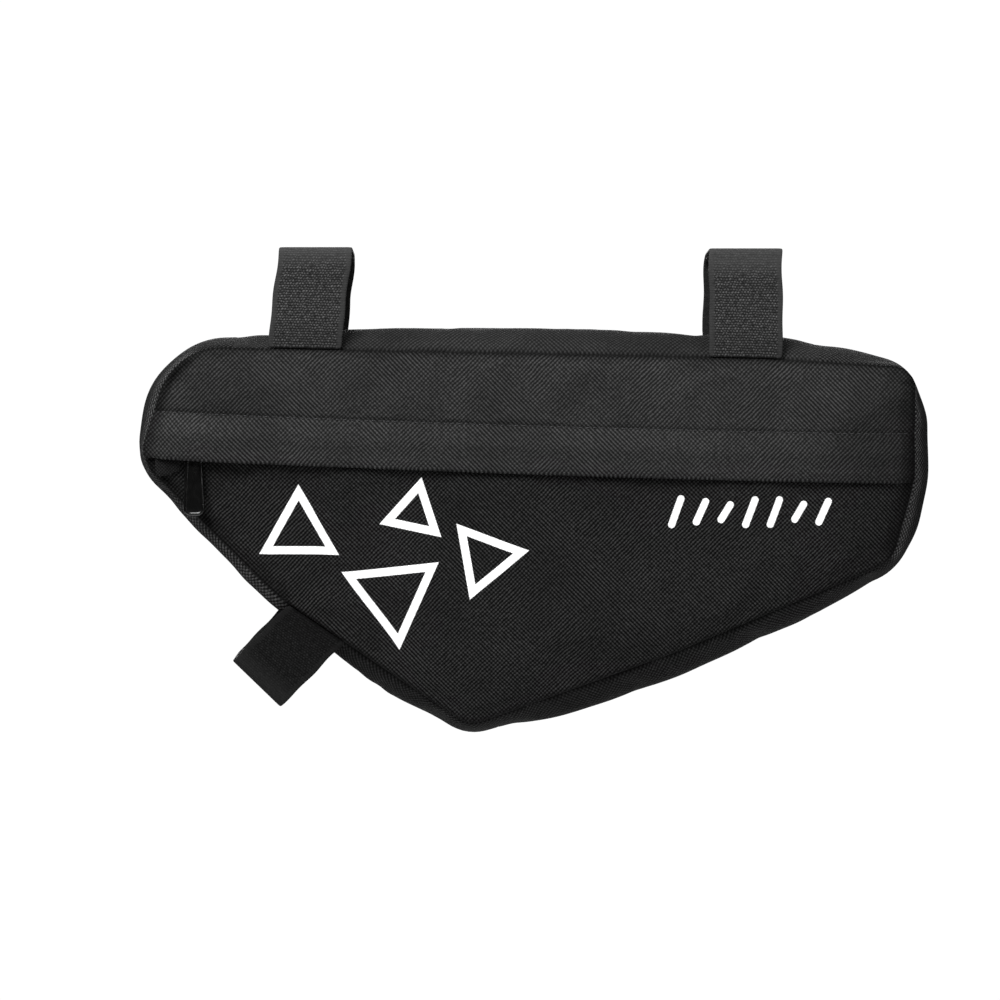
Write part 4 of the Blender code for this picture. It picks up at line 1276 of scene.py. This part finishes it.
tab_left = at_outline(np.array((crossing(-END_TAB_DROP, True),)))[0][0, 0] + 2 * END_TAB_CLOTH
end_x = np.linspace(tab_left, tab_left + END_TAB_LENGTH, END_TAB_COLUMNS)[None].repeat(END_TAB_ROWS, axis=0)
end_share = (end_x - tab_left) / END_TAB_LENGTH
end_top = flap_edge_z(end_x) + HIDDEN_EDGE * 0.8
end_bottom = flap_edge_z(end_x) - END_TAB_DROP * np.sqrt(1 - 0.98 * end_share**2)
down = np.linspace(0, 1, END_TAB_ROWS)[:, None]
end_z = end_top * (1 - down) + end_bottom * down
end_depth = inner_depth(end_x, end_z) + CLOTH + 2 * SEAM_GAP + END_TAB_CLOTH
end_depth += 0.0004 * np.sin(down * math.pi)
end_net = np.stack((end_x, -end_depth, end_z), axis=-1)
end_cloth = woven("end_cloth", 0.0085, 0.3, 0.0007, 0.6, sewn=False)
end_tab = cloth_shell(
    "zip_end_cloth", end_net, END_TAB_CLOTH, (0, -1, 0), end_net[..., [0, 2]], end_cloth
)
finish_piece(end_tab, "bag", ("zip_end_tab",), levels=0)

# %% [markdown]
# ## Hook and loop
# A strap is two tapes. The hook tape comes from the front seam, over the tube and down behind. It
# has rows of tiny hooks between two plain selvedges. The loop tape comes up from the rear seam
# under it and is napped. Hooks could be hair strands, but at this size rows of bumps read the
# same and cost far less.

# %% Tape groups
HOOK_ROW = 0.00112
HOOK_COLUMN = 0.00130

hooks, given, result = new_group(
    "hook_rows",
    ["Place"],
    {"Half Width": 0.015, "Hooks End": 0.037, "Strength": 1.0},
    ["Height", "Shade"],
)
place = given["Place"]
across, along, _ = split(place)
jitter = noise(place, 560.0, 3.0, 0.8)
nudge = (noise(place, 420.0, 2.0) - 0.5) * 1.2
row_number = along / HOOK_ROW + nudge
every_other = calc("FLOORED_MODULO", calc("FLOOR", row_number), 2.0)
column_number = across / HOOK_COLUMN + every_other * 0.5 + nudge
in_row = calc("FRACT", row_number) - 0.5
in_column = calc("FRACT", column_number) - 0.5
dot = remap(in_row * in_row + in_column * in_column * 1.1, 0.0, 0.19, 1.0, 0.0)
inside = remap(given["Half Width"] - calc("ABSOLUTE", across), 0.0012, 0.0020, 0.0, 1.0)
plain_lit_fold = remap(along - given["Hooks End"], -0.004, 0.004, 0.0, 1.0)
inside = inside * (plain_lit_fold * -0.75 + 1.0)
dots = dot * inside * remap(jitter, 0.38, 0.60, 0.15, 1.35) * given["Strength"]
ribs = calc("ABSOLUTE", calc("SINE", row_number * math.pi))
# Past the hooks' end the tape is plain, and its ground is made paler there as a painted highlight on the
# fold's top, which faces the light from above.
ground = (ribs - 0.5) * 0.30 + 0.95 - inside * 0.50 + plain_lit_fold * 0.35
shade = dots * 2.3 + ground + (jitter - 0.5) * 1.1
# Painted shade: the tape darkens towards its foot, where it meets the bag's seam.
shade = shade * remap(along, 0.0, 0.014, 0.78, 1.0)
put(result["Height"], dots + ribs * 0.2)
put(result["Shade"], calc("MAXIMUM", shade, 0.08))

nap, given, result = new_group("napped_loops", ["Place"], {}, ["Height", "Shade"])
curls = noise(given["Place"], 1500.0, 4.0, 0.75)
tufts = noise(given["Place"], 480.0, 3.0, 0.6)
put(result["Height"], curls + tufts * 0.8)
put(result["Shade"], remap(curls, 0.3, 0.7, 0.4, 1.6) * remap(tufts, 0.3, 0.7, 0.75, 1.25))
print("Both tapes have their groups")


# %% Tape materials
def tape_material(name, group, grey, values, depth):
    """A tape's material, coloured and raised by its group."""
    material, tree, inputs = new_material(name, 0.9, 0.06)
    out = use_group(group, {"Place": cloth_place(tree), **values})
    colour, roughness = tinted((grey, grey, grey), out["Shade"]), remap(out["Shade"], 0.4, 1.4, 0.92, 0.75)
    finish_with(inputs, colour, roughness, out["Height"], depth)
    return material


top_hooks = {"Half Width": 0.015, "Hooks End": 0.037, "Strength": 1.0}
down_hooks = {"Half Width": 0.0137, "Hooks End": 0.030, "Strength": 0.35}
hook_tape = tape_material("hook_tape_top", hooks, 0.0212, top_hooks, 0.00016)
# The down strap's tape is a darker copy of the top straps' hook tape: its darker grey is painted shade for a
# strap that faces down, away from the light from above.
hook_tape_shaded_down = tape_material("hook_tape_shaded_down", hooks, 0.0072, down_hooks, 0.00016)
loop_tape = tape_material("loop_tape", nap, 0.014, {}, 0.00025)
print("The tapes have three materials")

# %% [markdown]
# ## The loops round the tubes
# A loop's side view is a path: up from the front seam, over the tube, down to the rear seam. The
# path is carried across the tape's width, and its foot follows the seam line. The same function
# makes all three, on a frame of two directions: along the tube, and away from the bag.

# %% Straps
STRAP_THICKNESS = 0.0013
LAP_GAP = 0.0006
STRAP_STEP = 0.0012
STRAP_COLUMNS = 13
STRAP_SWAY = 0.0004
STRAP_SAMPLES = 400
HOOK_END_ABOVE_SEAM = 0.0080
FOLD_RADII = (0, 0.0030, 0.0090, 0)
STRAPS = (
    # name, centre x, centre z, tube radius, width, lean, peak, back, fold in front, fold behind
    ("strap_top_front", -0.0934, 0.0, TOP_TUBE_RADIUS, 0.0300, 0.0043, 1.440, 1.20, 0.85, 1.01),
    ("strap_top_rear", 0.0934, 0.0, TOP_TUBE_RADIUS, 0.0300, 0.0006, 1.400, 1.20, 0.86, 1.01),
    ("strap_down", *TUBE_POINT, DOWN_TUBE_RADIUS, 0.0275, 0.0, 1.215, 1.21, 0.91, 1.10),
)


def seam_rise(across, centre, tube, away):
    """How far the seam lies from the tube's axis, at distances along the tube."""
    rel = OUTLINE[OUTWARD @ away > 0.5] - centre
    order = np.argsort(rel @ tube)
    return np.interp(across, (rel @ tube)[order], (rel @ away)[order])


def strap_net(path, centre, tube, away, width, lean, foot, seed):
    """A path carried across a tape: y from the path, and the rest along the tube and away from the bag."""
    across = np.linspace(-0.5, 0.5, STRAP_COLUMNS) * width
    shift = seam_rise(across, centre, tube, away) - seam_rise(0, centre, tube, away)
    height = np.clip((path[:, 1:] - foot) / (path[:, 1].max() - foot), 0, 1)
    away_now = path[:, 1:] + shift * (1 - height)
    along_now = across + lean * height + STRAP_SWAY * waves(height, (0.9, 0.47), seed)
    flat = centre + along_now[..., None] * tube + away_now[..., None] * away
    depth = np.broadcast_to(path[:, :1], along_now.shape)
    uv = np.stack(np.broadcast_arrays(across, travelled(path)[:, None]), axis=-1)
    return np.stack((flat[..., 0], depth, flat[..., 1]), axis=-1), uv


for number, row in enumerate(STRAPS):
    name, centre_x, centre_z, radius, width, lean, peak, back, fold_front, fold_back = row
    centre = np.array((centre_x, centre_z))
    on_top = name != "strap_down"
    tube = np.array((1.0, 0.0)) if on_top else TUBE_ALONG
    away = np.array((0.0, 1.0)) if on_top else -TUBE_TOWARDS_BAG
    foot = float(seam_rise(0, centre, tube, away)) + 3 * SEAM_GAP
    front_y = GUSSET_WIDTH / 2 + SEAM_GAP + STRAP_THICKNESS
    corners = np.array(
        [
            (-front_y, foot),
            (-radius * fold_front, radius * peak),
            (radius * fold_back, radius * back),
            (front_y + STRAP_THICKNESS + LAP_GAP, foot),
        ]
    )
    path = rounded_path(corners, FOLD_RADII, False, 12)
    length = travelled(path)[-1]
    fine = resample(path, np.linspace(0, 1, STRAP_SAMPLES))
    slope = unit(np.gradient(fine, axis=0))
    under = fine + np.column_stack((slope[:, 1], -slope[:, 0])) * (STRAP_THICKNESS + LAP_GAP)
    loop_length = float(np.linalg.norm(path[-1] - path[-2])) + radius * 1.2
    under = under[int(STRAP_SAMPLES * (1 - loop_length / length)) :]
    under = under[under[:, 1] > foot]
    over = fine[: int(STRAP_SAMPLES * (1 - HOOK_END_ABOVE_SEAM / length))]
    for part, route in (("hook", over), ("loop", under)):
        even = resample(route, np.linspace(0, 1, int(travelled(route)[-1] / STRAP_STEP)))
        net, uv = strap_net(even, centre, tube, away, width, lean, foot, 71 + number)
        facing = net[net.shape[0] // 2, STRAP_COLUMNS // 2] - np.array((centre_x, 0, centre_z))
        finish = (hook_tape if on_top else hook_tape_shaded_down) if part == "hook" else loop_tape
        strap = cloth_shell(f"{name}_{part}_tape", net, STRAP_THICKNESS, facing, uv, finish)
        finish_piece(strap, "bag", (f"{name}_{part}",))

# %% [markdown]
# ## Studio
# The photograph has a blank white ground and soft light from above and in front. The world is white
# to the camera and a dim sky to the cloth, brighter overhead, so black cloth stays black at its
# edges. Two large area lights give the direction, a narrow one at the side draws a bright line on
# glossy edges, and a soft one behind keeps the back of the bag readable. A pale floor lies well
# below the bag. The camera stands a metre away and a little above, on a long lens.

# %% Floor, lights and camera
LOW_LIGHT = 0.03
HIGH_LIGHT = 0.70
WHITE_GROUND = 1.03
CAMERA_DISTANCE = 1.15
CAMERA_RISE = math.radians(5.0)
METRES_PER_PIXEL = 0.0004333
PICTURE_SIZE = 1000
SENSOR = 36.0
AIM = np.array(((500 - 524.5) * METRES_PER_PIXEL, 0.0, (295 - 500) * METRES_PER_PIXEL))
BAG_MIDDLE = (0.0, 0.0, -0.08)
FLOOR_Z = -0.95
FLOOR_HALF = 1.6

floor_corners = np.array([(x, z, 0) for x, z in ((-1, -1), (1, -1), (1, 1), (-1, 1))]) * FLOOR_HALF
floor = add_object("floor", floor_corners + (0, 0, FLOOR_Z), [(0, 1, 2, 3)])
floor_material, tree, inputs = new_material("floor_paper", 0.9, 0.2)
inputs["Base Color"].default_value = (0.85, 0.85, 0.85, 1.0)
floor.data.materials.append(floor_material)

world = bpy.data.worlds.new("studio")
world.use_nodes = True
tree = world.node_tree
background = tree.nodes["Background"]
height = split(add_node(tree, "TexCoord", "Generated"))[2]
overhead = remap(height, -0.1, 1.0, LOW_LIGHT, HIGH_LIGHT)
seen = add_node(tree, "LightPath", "Is Camera Ray")
put(background.inputs["Strength"], calc("MAXIMUM", overhead, seen * WHITE_GROUND))
background.inputs["Color"].default_value = (1.0, 1.0, 1.0, 1.0)
bpy.context.scene.world = world


def area_light(name, place, size, power):
    """A rectangular light, given by width and height, that faces the bag."""
    data = bpy.data.lights.new(name, "AREA")
    data.shape = "RECTANGLE"
    data.size, data.size_y = size
    data.energy = power
    light = bpy.data.objects.new(name, data)
    light.location = place
    aim = Vector(BAG_MIDDLE) - Vector(place)
    light.rotation_euler = aim.to_track_quat("-Z", "Y").to_euler()
    light.visible_camera = False
    bpy.context.scene.collection.objects.link(light)


area_light("key", (-0.70, -1.10, 1.20), (0.9, 0.9), 62.0)
area_light("top", (0.1, 0.0, 1.5), (1.0, 1.0), 8.0)
area_light("edge", (1.1, -0.75, 0.25), (0.06, 0.9), 6.0)
area_light("fill", (0.0, 1.6, 0.25), (1.0, 1.0), 24.0)

camera_data = bpy.data.cameras.new("camera")
camera_data.sensor_width = SENSOR
camera_data.lens = SENSOR * CAMERA_DISTANCE / (PICTURE_SIZE * METRES_PER_PIXEL)
camera = bpy.data.objects.new("camera", camera_data)
back_away = np.array((0.0, -math.cos(CAMERA_RISE), math.sin(CAMERA_RISE)))
camera.location = AIM + back_away * CAMERA_DISTANCE
camera.rotation_euler = (math.pi / 2 - CAMERA_RISE, 0.0, 0.0)
bpy.context.scene.collection.objects.link(camera)
bpy.context.scene.camera = camera
bpy.context.scene.view_settings.view_transform = "Standard"
print("The lens is", round(camera_data.lens, 1), "mm")
